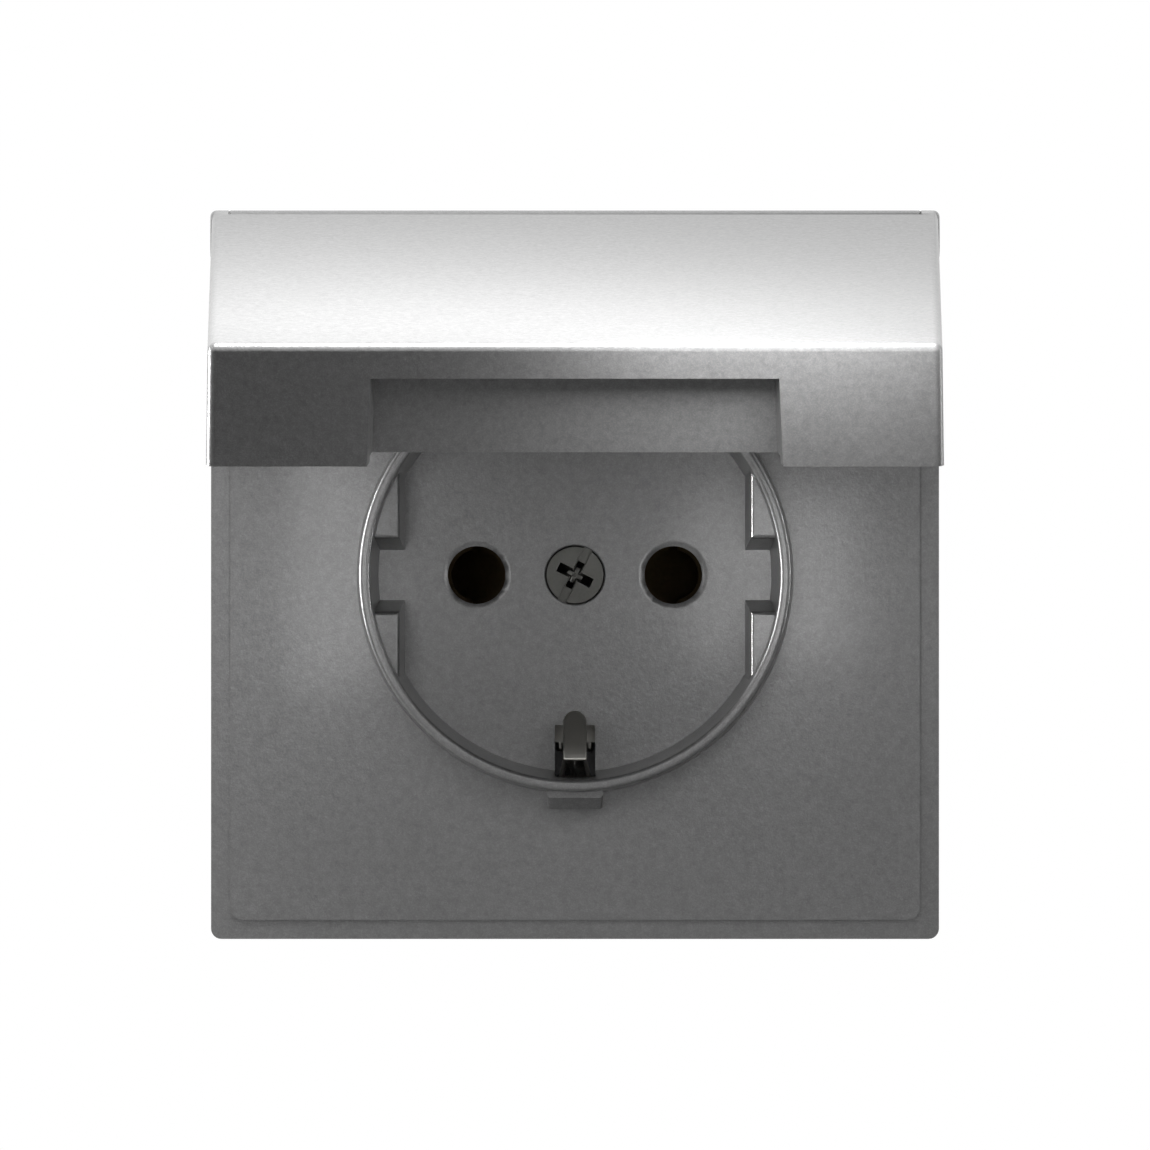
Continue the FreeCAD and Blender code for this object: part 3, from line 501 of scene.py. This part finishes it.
def housing_finish(colours):
    """Dark grey moulded thermoset with a speckled, slightly cloudy surface; its dark tone also paints the shade
    seen through the earth slots.
    """
    cloud_size, speck_size, sheen_size = 5 * MM, 0.25 * MM, 0.8 * MM
    grain_size, grain_height = 0.3 * MM, 0.008 * MM
    finish = Finish("housing_moulding", IOR=1.5)
    tone = colours.housing
    cloud = finish.spread(finish.noise(cloud_size), 0.0, 1.0)
    speck = finish.spread(finish.cells(speck_size), 0.0, 0.5, 0.7, 1.0)
    clouded = finish.blend(cloud, toned_by(tone, 0.93), toned_by(tone, 1.05))
    finish.feed("Base Color", finish.blend(speck, clouded, toned_by(tone, 1.5)))
    finish.feed("Roughness", finish.spread(finish.noise(sheen_size), 0.42, 0.56))
    finish.bump(finish.noise(grain_size), grain_height)
    return finish.material


def finishes():
    """All finishes, made once and then found by name."""
    made = bpy.data.materials
    colours = bpy.context.scene.socket_colours
    if "anthracite_lacquer" not in made:
        lacquer_finish(colours)
        housing_finish(colours)
        metal_finish("black_zinc", colours.screw, 0.36, 0.3 * MM, (1, 1, 1))
        metal_finish("nickel_strip", colours.clip, 0.3, 0.5 * MM, (6, 1, 1), metallic=0.4)
        metal_finish("zinc_sheet", colours.zinc, 0.4, 0.6 * MM, (1, 3, 5),
                     height=0.006 * MM)
        metal_finish("terminal_brass", colours.brass, 0.34, 0.4 * MM, (1, 5, 1))
        # A shaded copy of the terminals' brass: painted shade for the contacts deep in the pin holes.
        metal_finish("dull_brass", colours.shaded_contact, 0.75, 0.4 * MM, (1, 5, 1))
        metal_finish("bright_steel", colours.steel, 0.3, 0.3 * MM, (1, 4, 1))
        rubber_finish("lid_rubber", colours.rubber, 0.3 * MM)
        rubber_finish("foam_rubber", toned_by(colours.rubber, 1.5), 0.5 * MM)
    return made


class SOCKET_OT_cover_plate(bpy.types.Operator):
    """Model the cover plate with its collar, recess, pads and hinge block"""
    bl_idname = "socket.cover_plate"
    bl_label = "Cover plate"

    def execute(self, context):
        sizes, lid = context.scene.socket_plate, context.scene.socket_lid
        plate = self.plate(sizes, lid)
        self.recess(plate, sizes)
        self.openings(plate, sizes)
        soften(plate, 0.07 * MM)
        settle(plate, "socket", ["cover_plate"], finishes()["anthracite_lacquer"])
        return {"FINISHED"}

    def plate(self, sizes, lid):
        """Flange, raised platform and hinge block, hollow behind."""
        half = PLATE_HALF
        ledge = -sizes.ledge_depth
        front = ledge - sizes.platform_height
        inner = half - sizes.ledge_width
        plate = block("cover_plate_body", (-half, ledge, -half), (half, -sizes.back_gap, half))
        round_edges(plate, sizes.corner_radius, runs_along(Y), segments=6)
        platform = block("platform", (-inner, front, -inner), (inner, ledge + MM, inner))
        platform_corner = 1.2 * sizes.corner_radius
        round_edges(platform, platform_corner, runs_along(Y), segments=6)
        hinge = self.hinge_block(sizes, lid, front)
        combine(plate, [platform, hinge], "UNION")
        hollow = half - sizes.skirt_wall
        room = block("room", (-hollow, front + sizes.wall, -hollow), (hollow, MM, hollow))
        combine(plate, [room], "DIFFERENCE")
        self.notches(plate, sizes, front, ledge)
        return plate

    def notches(self, plate, sizes, front, ledge):
        """Notches for the lid's arms, with a floor behind them."""
        half = PLATE_HALF
        far = half + MM
        floor = ledge + sizes.notch_depth
        under = sizes.strip_top - sizes.skirt_wall
        for side in (-1, 1):
            ends = sorted((side * (sizes.block_side - sizes.skirt_wall),
                           side * (half - sizes.skirt_wall / 2)))
            fill = block("fill", (ends[0], front + sizes.wall / 2, under),
                         (ends[1], floor + sizes.skirt_wall, half - sizes.skirt_wall / 2))
            combine(plate, [fill], "UNION")
            ends = sorted((side * sizes.block_side, side * far))
            notch = block("notch", (ends[0], HINGE_POINT.y * 2, sizes.strip_top),
                          (ends[1], floor, far))
            combine(plate, [notch], "DIFFERENCE")

    def hinge_block(self, sizes, lid, front):
        """Fixed block across the top with the barrel as its round nose."""
        side = sizes.block_side
        radius = lid.barrel_radius
        body = block("hinge_block", (-side, HINGE_POINT.y, HINGE_POINT.z - radius),
                     (side, front + sizes.wall, HINGE_POINT.z + radius))
        nose = rod("nose", (-side, HINGE_POINT.y, HINGE_POINT.z),
                   (side, HINGE_POINT.y, HINGE_POINT.z), radius, BARREL_SIDES)
        combine(body, [nose], "UNION")
        return body

    def recess(self, plate, sizes):
        """Collar in front, cup behind and the drafted hollow for the plug."""
        cup_wall = 1.5 * MM
        front = -sizes.ledge_depth - sizes.platform_height
        top = front - sizes.collar_height
        floor = top + sizes.recess_depth
        collar = rod("collar", (0, top, 0), (0, front + sizes.wall / 2, 0), sizes.collar_top,
                     RECESS_SIDES, sizes.collar_foot)
        round_edges(collar, sizes.collar_edge, at(Y, top), segments=5)
        cup = rod("cup", (0, front + sizes.wall / 3, 0), (0, floor + sizes.floor_wall, 0),
                  sizes.floor_radius + cup_wall, RECESS_SIDES)
        boss = rod("boss", (0, floor, 0), (0, floor + sizes.floor_wall + sizes.boss_height, 0),
                   sizes.boss_radius)
        combine(plate, [cup, boss, collar, self.catch(sizes, front)], "UNION")
        combine(plate, [self.hollow(sizes, top, floor)], "DIFFERENCE")
        pads = [self.pad(sizes, top, floor, side) for side in (-1, 1)]
        combine(plate, pads, "UNION")

    def hollow(self, sizes, top, floor):
        """The space for the plug, flared where the collar's inner edge is rounded."""
        space = rod("hollow", (0, floor, 0), (0, top, 0), sizes.floor_radius, RECESS_SIDES,
                    sizes.mouth_radius)
        steps = 5
        edge = sizes.collar_edge
        pick(space, "FACE", faces_down(Y))
        bpy.ops.transform.translate(value=(0, edge, 0))
        radius = sizes.mouth_radius
        for step in range(1, steps + 1):
            angle = math.pi / 2 * step / steps
            wider = sizes.mouth_radius + edge * (1 - math.cos(angle))
            rise = edge * (math.sin(angle) - math.sin(angle - math.pi / 2 / steps))
            bpy.ops.mesh.extrude_region_move(TRANSFORM_OT_translate={"value": (0, -rise, 0)})
            factor = wider / radius
            bpy.ops.transform.resize(value=(factor, 1, factor), center_override=(0, top, 0))
            radius = wider
        bpy.ops.mesh.extrude_region_move(TRANSFORM_OT_translate={"value": (0, -MM, 0)})
        leave_edit()
        return space

    def pad(self, sizes, top, floor, side):
        """One guide pad with its tapered groove, trimmed to the recess."""
        pad_edge = 0.36 * MM
        inside_wall, through_wall = 0.3 * MM, 0.4 * MM
        pad_top = top + sizes.pad_drop
        outer = sizes.mouth_radius + through_wall
        low, high = sorted((side * sizes.pad_foot, side * outer))
        pad = block("pad", (low, pad_top, -outer), (high, floor + MM, outer))
        lean = side * (sizes.pad_top - sizes.pad_foot)
        shift(pad, lambda place: near(place.y, pad_top) and abs(place.x) < sizes.pad_foot + MM,
              (lean, 0, 0))
        behind = floor + 2 * MM
        groove = block("groove", (-outer, pad_top - MM, -sizes.groove_top),
                       (outer, behind, sizes.groove_top))
        slope = (sizes.groove_top - sizes.groove_foot) / (floor - pad_top + MM)
        factor = (sizes.groove_foot - slope * 2 * MM) / sizes.groove_top
        squeeze(groove, at(Y, behind), (1, 1, factor), (0, behind, 0))
        combine(pad, [groove], "DIFFERENCE")
        hidden = outer - 0.1 * MM
        round_edges(pad, pad_edge, lambda middle, run: near(middle.y, pad_top)
                    and abs(middle.x) < hidden, segments=3)
        reach = rod("reach", (0, floor + MM / 2, 0), (0, top, 0),
                    sizes.floor_radius + inside_wall, RECESS_SIDES,
                    sizes.mouth_radius + inside_wall)
        combine(pad, [reach], "INTERSECT")
        return pad

    def catch(self, sizes, front):
        """Nose below the collar that the lid's hook passes."""
        in_collar, undercut, tab_edge, slack = 0.6 * MM, 0.6 * MM, 0.3 * MM, 0.01 * MM
        cuts = 5
        top = front - sizes.catch_height
        half = sizes.catch_half
        root = -sizes.collar_top + in_collar
        tab = block("catch", (-half, top, -sizes.catch_reach),
                    (half, front + sizes.wall / 2, root))
        pick(tab, "FACE", faces_down(Z))
        bpy.ops.mesh.subdivide(number_cuts=cuts)
        leave_edit()
        depth = front + sizes.wall / 2 - top
        nose = top + depth / (cuts + 1)
        margin = depth / 20
        shift(tab, lambda place: place.z < -sizes.catch_flat and place.y < nose - margin,
              (0, 0, sizes.catch_reach - sizes.catch_flat))
        shift(tab, lambda place: near(place.z, -sizes.catch_reach) and place.y > nose + margin,
              (0, 0, undercut))
        round_edges(tab, tab_edge, lambda middle, run: abs(run.x) < slack
                    and abs(abs(middle.x) - half) < slack and middle.z < -sizes.collar_foot,
                    segments=3)
        return tab

    def openings(self, plate, sizes):
        """Pin holes, screw seat and the slots for the earth clips."""
        seat_depth, seat_radius, way_radius = 1.9 * MM, 2.975 * MM, 1.9 * MM
        slot_end = sizes.collar_top - 0.8 * MM
        top = -sizes.ledge_depth - sizes.platform_height - sizes.collar_height
        floor = top + sizes.recess_depth
        back = floor + sizes.floor_wall
        tools = []
        for side in (-1, 1):
            tools.append(self.pin_way(sizes, side * sizes.pin_offset, floor, back))
            ends = sorted((side * sizes.slot_start, side * slot_end))
            tools.append(block("slot", (-sizes.slot_half, top + sizes.slot_drop, ends[0]),
                               (sizes.slot_half, back + MM, ends[1])))
        tools.append(rod("screw_seat", (0, floor - MM, 0), (0, floor + seat_depth, 0),
                         seat_radius))
        tools.append(rod("screw_way", (0, floor, 0), (0, back + 4 * MM, 0), way_radius))
        combine(plate, tools, "DIFFERENCE")

    def pin_way(self, sizes, x, floor, back):
        """Round way for a plug pin, widened at its mouth."""
        way = rod("pin_way", (x, back + MM, 0), (x, floor + sizes.pin_bevel, 0), sizes.pin_radius)
        pick(way, "FACE", faces_down(Y))
        bpy.ops.mesh.extrude_region_move(
            TRANSFORM_OT_translate={"value": (0, -sizes.pin_bevel, 0)})
        factor = sizes.pin_rim / sizes.pin_radius
        bpy.ops.transform.resize(value=(factor, 1, factor), center_override=(x, floor, 0))
        bpy.ops.mesh.extrude_region_move(TRANSFORM_OT_translate={"value": (0, -MM, 0)})
        leave_edit()
        return way


class SOCKET_OT_lid(bpy.types.Operator):
    """Model the hinged lid with its arms, finger pocket, hook and seal ribs"""
    bl_idname = "socket.lid"
    bl_label = "Lid"

    def execute(self, context):
        sizes, plate = context.scene.socket_lid, context.scene.socket_plate
        rim = -plate.ledge_depth - sizes.rim_gap
        face = rim - sizes.depth
        inside = face + sizes.face_wall
        lid = self.tray(sizes, rim, face, inside)
        self.arms(lid, sizes)
        self.finger_pocket(lid, sizes, plate, rim)
        self.inside(lid, sizes, plate, inside)
        soften(lid, 0.08 * MM)
        swung(lid)
        settle(lid, "lid", ["lid"], finishes()["anthracite_lacquer"])
        return {"FINISHED"}

    def drafted(self, name, half, top, rim, front, draft):
        """Block of the lid that leans in from the rim to the front."""
        piece = block(name, (-half, front, -half), (half, rim, top))

        factor = (half - draft) / half
        squeeze(piece, at(Y, front), (factor, 1, 1), (0, front, 0))
        shift(piece, lambda place: near(place.y, front) and place.z < 0, (0, 0, draft))
        return piece

    def tray(self, sizes, rim, face, inside):
        """Outer tray, rounded and hollowed, ending at the barrel."""
        half = PLATE_HALF
        tray = self.drafted("lid_shell", half, half, rim, face, sizes.draft)
        round_edges(tray, sizes.edge_radius, lambda middle, run: middle.z < half - MM
                    and (near(middle.y, face) or (middle.z < 0 and not near(middle.y, rim))),
                    segments=6)
        self.trim_side(tray, sizes, rim)
        hollow = self.drafted("hollow", half - sizes.side_wall, half + MM, rim + MM, inside,
                              sizes.draft)
        end = HINGE_POINT.z - sizes.barrel_radius - sizes.barrel_gap
        arm = half - sizes.arm_wall
        gap = block("gap", (-arm, face - MM, end), (arm, rim + MM, half + MM))
        combine(tray, [hollow, gap], "DIFFERENCE")
        return tray

    def trim_side(self, tray, sizes, rim):
        """Cut the tray back towards the hinge axis, as seen from the side."""
        foot = (rim - HINGE_POINT.y, -sizes.arm_foot)
        neck = (-sizes.setback, -sizes.barrel_radius - sizes.barrel_gap)
        behind = tangent_point(foot, sizes.barrel_radius, 1)
        ahead = tangent_point(neck, sizes.barrel_radius, -1)
        slice_off(tray, foot, behind)
        slice_off(tray, behind, ahead)
        slice_off(tray, ahead, neck)

    def arms(self, lid, sizes):
        """Round arm ends with soft outer edges and blind ways for the pins."""
        bore_depth, bore_radius = 0.95 * MM, 1.05 * MM
        y, z = HINGE_POINT.y, HINGE_POINT.z
        for side in (-1, 1):
            outer = side * PLATE_HALF
            inner = side * (PLATE_HALF - sizes.arm_wall)
            disc = rod("arm_end", (inner, y, z), (outer, y, z), sizes.barrel_radius, BARREL_SIDES)
            round_edges(disc, sizes.arm_edge, at(X, outer))
            combine(lid, [disc], "UNION")
            bore = rod("bore", (inner - side * MM, y, z), (inner + side * bore_depth, y, z),
                       bore_radius)
            combine(lid, [bore], "DIFFERENCE")

    def pocket_block(self, name, sizes, rim, wall, outer):
        """Block for the finger pocket, wider at the rim and at the outside."""
        half = PLATE_HALF
        back = -half + sizes.finger_depth + wall
        top = rim - sizes.finger_height - wall
        wide = sizes.finger_rim + wall
        piece = block(name, (-wide, top, outer), (wide, rim, back))
        narrow = (sizes.finger_half + wall) / wide
        squeeze(piece, at(Y, top), (narrow, 1, 1), (0, top, 0))
        slant = (wide - sizes.finger_slant) / wide
        squeeze(piece, at(Z, back), (slant, 1, 1), (0, 0, back))
        return piece

    def finger_pocket(self, lid, sizes, plate, rim):
        """Pocket in the lower wall and the wall that lines it inside."""
        half = PLATE_HALF
        liner = self.pocket_block("liner", sizes, rim, sizes.finger_wall,
                                  -half + sizes.side_wall / 2)
        shift(liner, at(Y, rim), (0, -plate.platform_height, 0))
        combine(lid, [liner], "UNION")
        pocket = self.pocket_block("pocket", sizes, rim, 0, -half - MM)
        shift(pocket, at(Y, rim), (0, MM, 0))
        combine(lid, [pocket], "DIFFERENCE")

    def inside(self, lid, sizes, plate, inside):
        """Hook for the catch and the two ribs that hold the seal."""
        past_catch, seal_play = 1.9 * MM, 0.1 * MM
        half = sizes.hook_half
        stem = sizes.hook_inner + sizes.hook_nose
        tip = -plate.ledge_depth - plate.platform_height - plate.catch_height + past_catch
        hook = block("hook", (-half, inside - MM, -stem - sizes.hook_wall), (half, tip, -stem))
        nose = block("nose", (-half, tip - 2 * sizes.hook_nose, -stem - sizes.hook_wall / 2),
                     (half, tip, -sizes.hook_inner))
        round_edges(nose, sizes.hook_nose * 0.9, lambda middle, run: along(run, X)
                    and near(middle.z, -sizes.hook_inner), segments=3)
        ribs = []
        for inner in (sizes.seal_inner - seal_play - sizes.rib_wall, sizes.seal_outer + seal_play):
            rib = rod("rib", (0, inside - MM / 2, 0), (0, inside + sizes.rib_height, 0),
                      inner + sizes.rib_wall, RING_SIDES)
            hole = rod("hole", (0, inside - MM, 0), (0, inside + MM, 0), inner, RING_SIDES)
            combine(rib, [hole], "DIFFERENCE")
            ribs.append(rib)
        combine(lid, [hook, nose, *ribs], "UNION")


class SOCKET_OT_lid_seal(bpy.types.Operator):
    """Model the soft ring in the lid"""
    bl_idname = "socket.lid_seal"
    bl_label = "Lid seal"

    def execute(self, context):
        sizes, plate = context.scene.socket_lid, context.scene.socket_plate
        inside = -plate.ledge_depth - sizes.rim_gap - sizes.depth + sizes.face_wall
        collar = -plate.ledge_depth - plate.platform_height - plate.collar_height
        lip = collar - sizes.seal_gap
        lip_edge = 0.4 * MM
        seal = rod("lid_seal_ring", (0, inside, 0), (0, lip, 0), sizes.seal_outer, RING_SIDES)
        hole = rod("hole", (0, inside - MM, 0), (0, 0, 0), sizes.seal_inner, RING_SIDES)
        combine(seal, [hole], "DIFFERENCE")
        round_edges(seal, lip_edge, at(Y, lip))
        even_shading(seal)
        swung(seal)
        settle(seal, "lid", ["lid_seal"], finishes()["lid_rubber"])
        return {"FINISHED"}


class SOCKET_OT_centre_screw(bpy.types.Operator):
    """Model the centre screw with its slot and cross recess"""
    bl_idname = "socket.centre_screw"
    bl_label = "Centre screw"

    def execute(self, context):
        head_height, head_edge, head_turn = 1.9 * MM, 0.18 * MM, math.radians(27)
        shank_radius, shank_end = 1.72 * MM, 0.4 * MM
        low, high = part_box("centre_screw")
        head_back = low.y + head_height
        screw = rod("centre_screw_body", (0, low.y, 0), (0, head_back, 0), high.x, BARREL_SIDES)
        round_edges(screw, head_edge, at(Y, low.y))
        shank = rod("shank", (0, head_back - MM, 0), (0, high.y, 0), shank_radius)
        round_edges(shank, shank_end, at(Y, high.y), segments=2)
        combine(screw, [shank], "UNION")
        self.drive(screw, low.y, high.x)
        soften(screw, 0.06 * MM)
        screw.data.transform(Matrix.Rotation(head_turn, 4, "Y"))
        settle(screw, "socket", ["centre_screw"], finishes()["black_zinc"])
        return {"FINISHED"}

    def drive(self, screw, face, radius):
        """Slot across the head and a tapered cross recess with a small point in it."""
        slot_half, slot_depth, slot_edge = 0.45 * MM, 0.9 * MM, 0.09 * MM
        cross_half, cross_reach, cross_depth, taper = 1.1 * slot_half, 1.9 * MM, 2.2 * MM, 0.4
        point_foot, point_top, point_sides = 0.16 * MM, 0.1 * MM, 24
        front, bottom = face - 0.2 * MM, face + cross_depth
        slot = block("slot", (-slot_half, front, -radius - MM),
                     (slot_half, face + slot_depth, radius + MM))
        combine(screw, [slot], "DIFFERENCE")
        round_edges(screw, slot_edge, lambda middle, run: near(middle.y, face)
                    and along(run, Z) and near(abs(middle.x), slot_half), segments=2)
        cross = [block("cross", (-cross_reach, front, -cross_half),
                       (cross_reach, bottom, cross_half)),
                 block("cross", (-cross_half, front, -cross_reach),
                       (cross_half, bottom, cross_reach))]
        for way in cross:
            squeeze(way, at(Y, bottom), (taper, 1, taper), (0, bottom, 0))
        combine(screw, cross, "DIFFERENCE")
        point = rod("point", (0, bottom + 0.2 * MM, 0), (0, face + slot_depth, 0), point_foot,
                    point_sides, point_top)
        combine(screw, [point], "UNION")


class SOCKET_OT_earth_clips(bpy.types.Operator):
    """Model the earth strap with its two clips, whose feet lean back into their slots"""
    bl_idname = "socket.earth_clips"
    bl_label = "Earth clips"

    def execute(self, context):
        strap = merged_copy("earth_bracket", "earth_strap")
        self.feet(strap)
        soften(strap, 0.2 * MM, segments=3, clamp=False)
        settle(strap, "socket", ["earth_bracket"], finishes()["nickel_strip"])
        return {"FINISHED"}

    def feet(self, strap):
        """Lean both feet back and open them on each side of a narrow middle web."""
        foot_start, foot_lean = 18.6 * MM, 3.6 * MM
        way_start, way_end, way_flare = 18.0 * MM, 19.7 * MM, 0.36 * MM
        way_inner, way_outer = 0.13 * MM, 0.62 * MM
        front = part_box("earth_bracket")[0].y
        for side in (-1, 1):
            shift(strap, lambda place: side * place.z > foot_start and place.y < front / 2,
                  (0, foot_lean, 0))
            ways = []
            for hand in (-1, 1):
                wide = sorted((hand * way_inner, hand * way_outer))
                tall = sorted((side * way_start, side * way_end))
                way = block("way", (wide[0], front - MM, tall[0]), (wide[1], 0, tall[1]))
                shift(way, lambda place: side * place.z > (way_start + way_end) / 2
                      and abs(place.x) > (way_inner + way_outer) / 2,
                      (hand * way_flare, 0, 0))
                ways.append(way)
            combine(strap, ways, "DIFFERENCE")


def merged_copy(node, name):
    """A piece with a node's shape, its loose triangles joined into whole faces."""
    start_clean()
    piece = bpy.data.objects.new(name, frame["nodes"][node].data.copy())
    bpy.context.scene.collection.objects.link(piece)
    pick_all(piece)
    bpy.ops.mesh.remove_doubles(threshold=MERGE)
    bpy.ops.mesh.dissolve_limited(angle_limit=FLAT_ANGLE)
    leave_edit()
    return piece


class SOCKET_OT_insert(bpy.types.Operator):
    """Round the edges of the housing, ring and seals behind the plate and finish them"""
    bl_idname = "socket.insert"
    bl_label = "Insert"

    def execute(self, context):
        rounded = {
            "insert_front": ("front_housing", 0.25 * MM, "housing_moulding"),
            "insert_base": ("rear_housing", 0.3 * MM, "housing_moulding"),
            "support_ring": ("mounting_ring", 0.12 * MM, "zinc_sheet"),
            "ring_rivets": ("rivet_heads", 0.15 * MM, "bright_steel"),
            "rear_gasket": ("wall_gasket", 0.15 * MM, "foam_rubber"),
            "base_screws": ("housing_screws", 0.1 * MM, "bright_steel"),
        }
        for node, (name, edge, finish) in rounded.items():
            piece = merged_copy(node, name)
            soften(piece, edge)
            settle(piece, "socket", [node], finishes()[finish])
        return {"FINISHED"}


class SOCKET_OT_metal_parts(bpy.types.Operator):
    """Finish the contacts, terminals, pins and the hidden seal"""
    bl_idname = "socket.metal_parts"
    bl_label = "Metal parts"

    def execute(self, context):
        # Contacts take the shaded copy of brass, painted shade in the pin holes.
        choice = {"contact_brass": "dull_brass", "terminal_brass": "terminal_brass",
                  "gasket_rubber": "foam_rubber", "housing_plastic": "housing_moulding",
                  "anthracite_plastic": "anthracite_lacquer", "lid_rubber": "lid_rubber",
                  "zinc_steel": "zinc_sheet", "nickel_strip": "nickel_strip",
                  "dark_screw": "black_zinc"}
        for entry in frame["record"]["subparts"]:
            finish = choice.get(entry["material_slot"], "bright_steel")
            mesh = frame["nodes"][entry["node"]].data
            mesh.materials.clear()
            mesh.materials.append(finishes()[finish])
        return {"FINISHED"}


class SOCKET_OT_stage(bpy.types.Operator):
    """Floor, white surroundings, lamps and the camera"""
    bl_idname = "socket.stage"
    bl_label = "Stage"

    def execute(self, context):
        self.surroundings(context.scene)
        self.floor()
        for settings in LAMPS:
            self.lamp(*settings)
        self.camera(context.scene)
        return {"FINISHED"}

    def surroundings(self, scene):
        """Even dim light from all round, white where it is seen directly or mirrored."""
        dim_strength = 0.04
        world = bpy.data.worlds.new("surroundings")
        scene.world = world
        world.use_nodes = True
        tree = world.node_tree
        tree.nodes.clear()
        path = add_node(tree, "ShaderNodeLightPath").outputs
        direct = add_node(tree, "ShaderNodeMath", {0: path["Is Camera Ray"],
                                                   1: path["Is Glossy Ray"]},
                          operation="MAXIMUM")
        seen = add_node(tree, "ShaderNodeMath", {0: direct.outputs[0],
                                                 1: path["Is Transmission Ray"]},
                        operation="MAXIMUM")
        dim = add_node(tree, "ShaderNodeBackground", {"Color": WHITE, "Strength": dim_strength})
        white = add_node(tree, "ShaderNodeBackground", {"Color": WHITE})
        mix = add_node(tree, "ShaderNodeMixShader", {0: seen.outputs[0], 1: dim.outputs[0],
                                                     2: white.outputs[0]})
        add_node(tree, "ShaderNodeOutputWorld", {0: mix.outputs[0]})

    def floor(self):
        """Pale round floor under the socket, out of the front view."""
        radius, height, grain_size, glow = 0.9, -0.07, 20 * MM, 0.5
        start_clean()
        bpy.ops.mesh.primitive_circle_add(vertices=RING_SIDES, radius=radius, fill_type="NGON",
                                          location=(0, 0, height))
        floor = bpy.context.object
        floor.name = "floor"
        finish = Finish("pale_floor", Roughness=0.8)
        grain = finish.spread(finish.noise(grain_size), 0.0, 1.0)
        finish.feed("Base Color", finish.blend(grain, (0.8, 0.8, 0.8), (0.86, 0.86, 0.86)))
        seen = finish.add("ShaderNodeLightPath").outputs["Is Camera Ray"]
        finish.shader.inputs["Emission Color"].default_value = WHITE
        finish.feed("Emission Strength", finish.spread(seen, 0.0, glow, 0.0, 1.0))
        floor.data.materials.append(finish.material)

    def lamp(self, name, place, target, size, power, soft, shine):
        """One panel that faces a point, with or without its soft light and its mirror image."""
        data = bpy.data.lights.new(name, "AREA")
        data.shape = "RECTANGLE"
        data.size, data.size_y = size
        data.energy = power
        lamp = bpy.data.objects.new(name, data)
        bpy.context.scene.collection.objects.link(lamp)
        lamp.location = place
        lamp.rotation_euler = (Vector(target) - Vector(place)).to_track_quat("-Z", "Y").to_euler()
        lamp.visible_camera = False
        lamp.visible_diffuse = soft
        lamp.visible_glossy = shine

    def camera(self, scene):
        """Very long lens, straight in front, so that the view is nearly parallel."""
        view_width, middle = 110.4 * MM, -30 * MM
        data = bpy.data.cameras.new("camera")
        data.lens, data.sensor_width = 1700, 36
        data.clip_start, data.clip_end = 1, 20
        camera = bpy.data.objects.new("camera", data)
        scene.collection.objects.link(camera)
        camera.location = (0, middle - view_width * data.lens / data.sensor_width, 0)
        camera.rotation_euler = (math.pi / 2, 0, 0)
        scene.camera = camera
        scene.view_settings.view_transform = "Standard"


OPERATORS = (SOCKET_OT_cover_plate, SOCKET_OT_lid, SOCKET_OT_lid_seal, SOCKET_OT_centre_screw,
             SOCKET_OT_earth_clips, SOCKET_OT_insert, SOCKET_OT_metal_parts, SOCKET_OT_stage)


class SOCKET_PT_build(bpy.types.Panel):
    """Sizes, colours and the steps that build the socket"""
    bl_idname = "SOCKET_PT_build"
    bl_label = "Wall Socket"
    bl_space_type = "VIEW_3D"
    bl_region_type = "UI"
    bl_category = "Wall Socket"

    def draw(self, context):
        for operator in OPERATORS:
            self.layout.operator(operator.bl_idname)
        for group in (context.scene.socket_plate, context.scene.socket_lid,
                      context.scene.socket_colours):
            box = self.layout.box()
            for name in group.bl_rna.properties.keys():
                if name not in ("rna_type", "name"):
                    box.prop(group, name)


GROUPS = (SocketPlateSizes, SocketLidSizes, SocketColours)


def register():
    """Register the classes and hang the settings on the scene."""
    for item in (*GROUPS, *OPERATORS, SOCKET_PT_build):
        bpy.utils.register_class(item)
    bpy.types.Scene.socket_plate = PointerProperty(type=SocketPlateSizes)
    bpy.types.Scene.socket_lid = PointerProperty(type=SocketLidSizes)
    bpy.types.Scene.socket_colours = PointerProperty(type=SocketColours)


def unregister():
    """Take the settings and the classes away again."""
    del bpy.types.Scene.socket_plate
    del bpy.types.Scene.socket_lid
    del bpy.types.Scene.socket_colours
    for item in reversed((*GROUPS, *OPERATORS, SOCKET_PT_build)):
        bpy.utils.unregister_class(item)


def main():
    """Build every piece in order."""
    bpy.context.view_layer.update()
    register()
    bpy.ops.socket.metal_parts()
    bpy.ops.socket.cover_plate()
    bpy.ops.socket.lid()
    bpy.ops.socket.lid_seal()
    bpy.ops.socket.centre_screw()
    bpy.ops.socket.earth_clips()
    bpy.ops.socket.insert()
    bpy.ops.socket.stage()


if __name__ == "__main__":
    main()
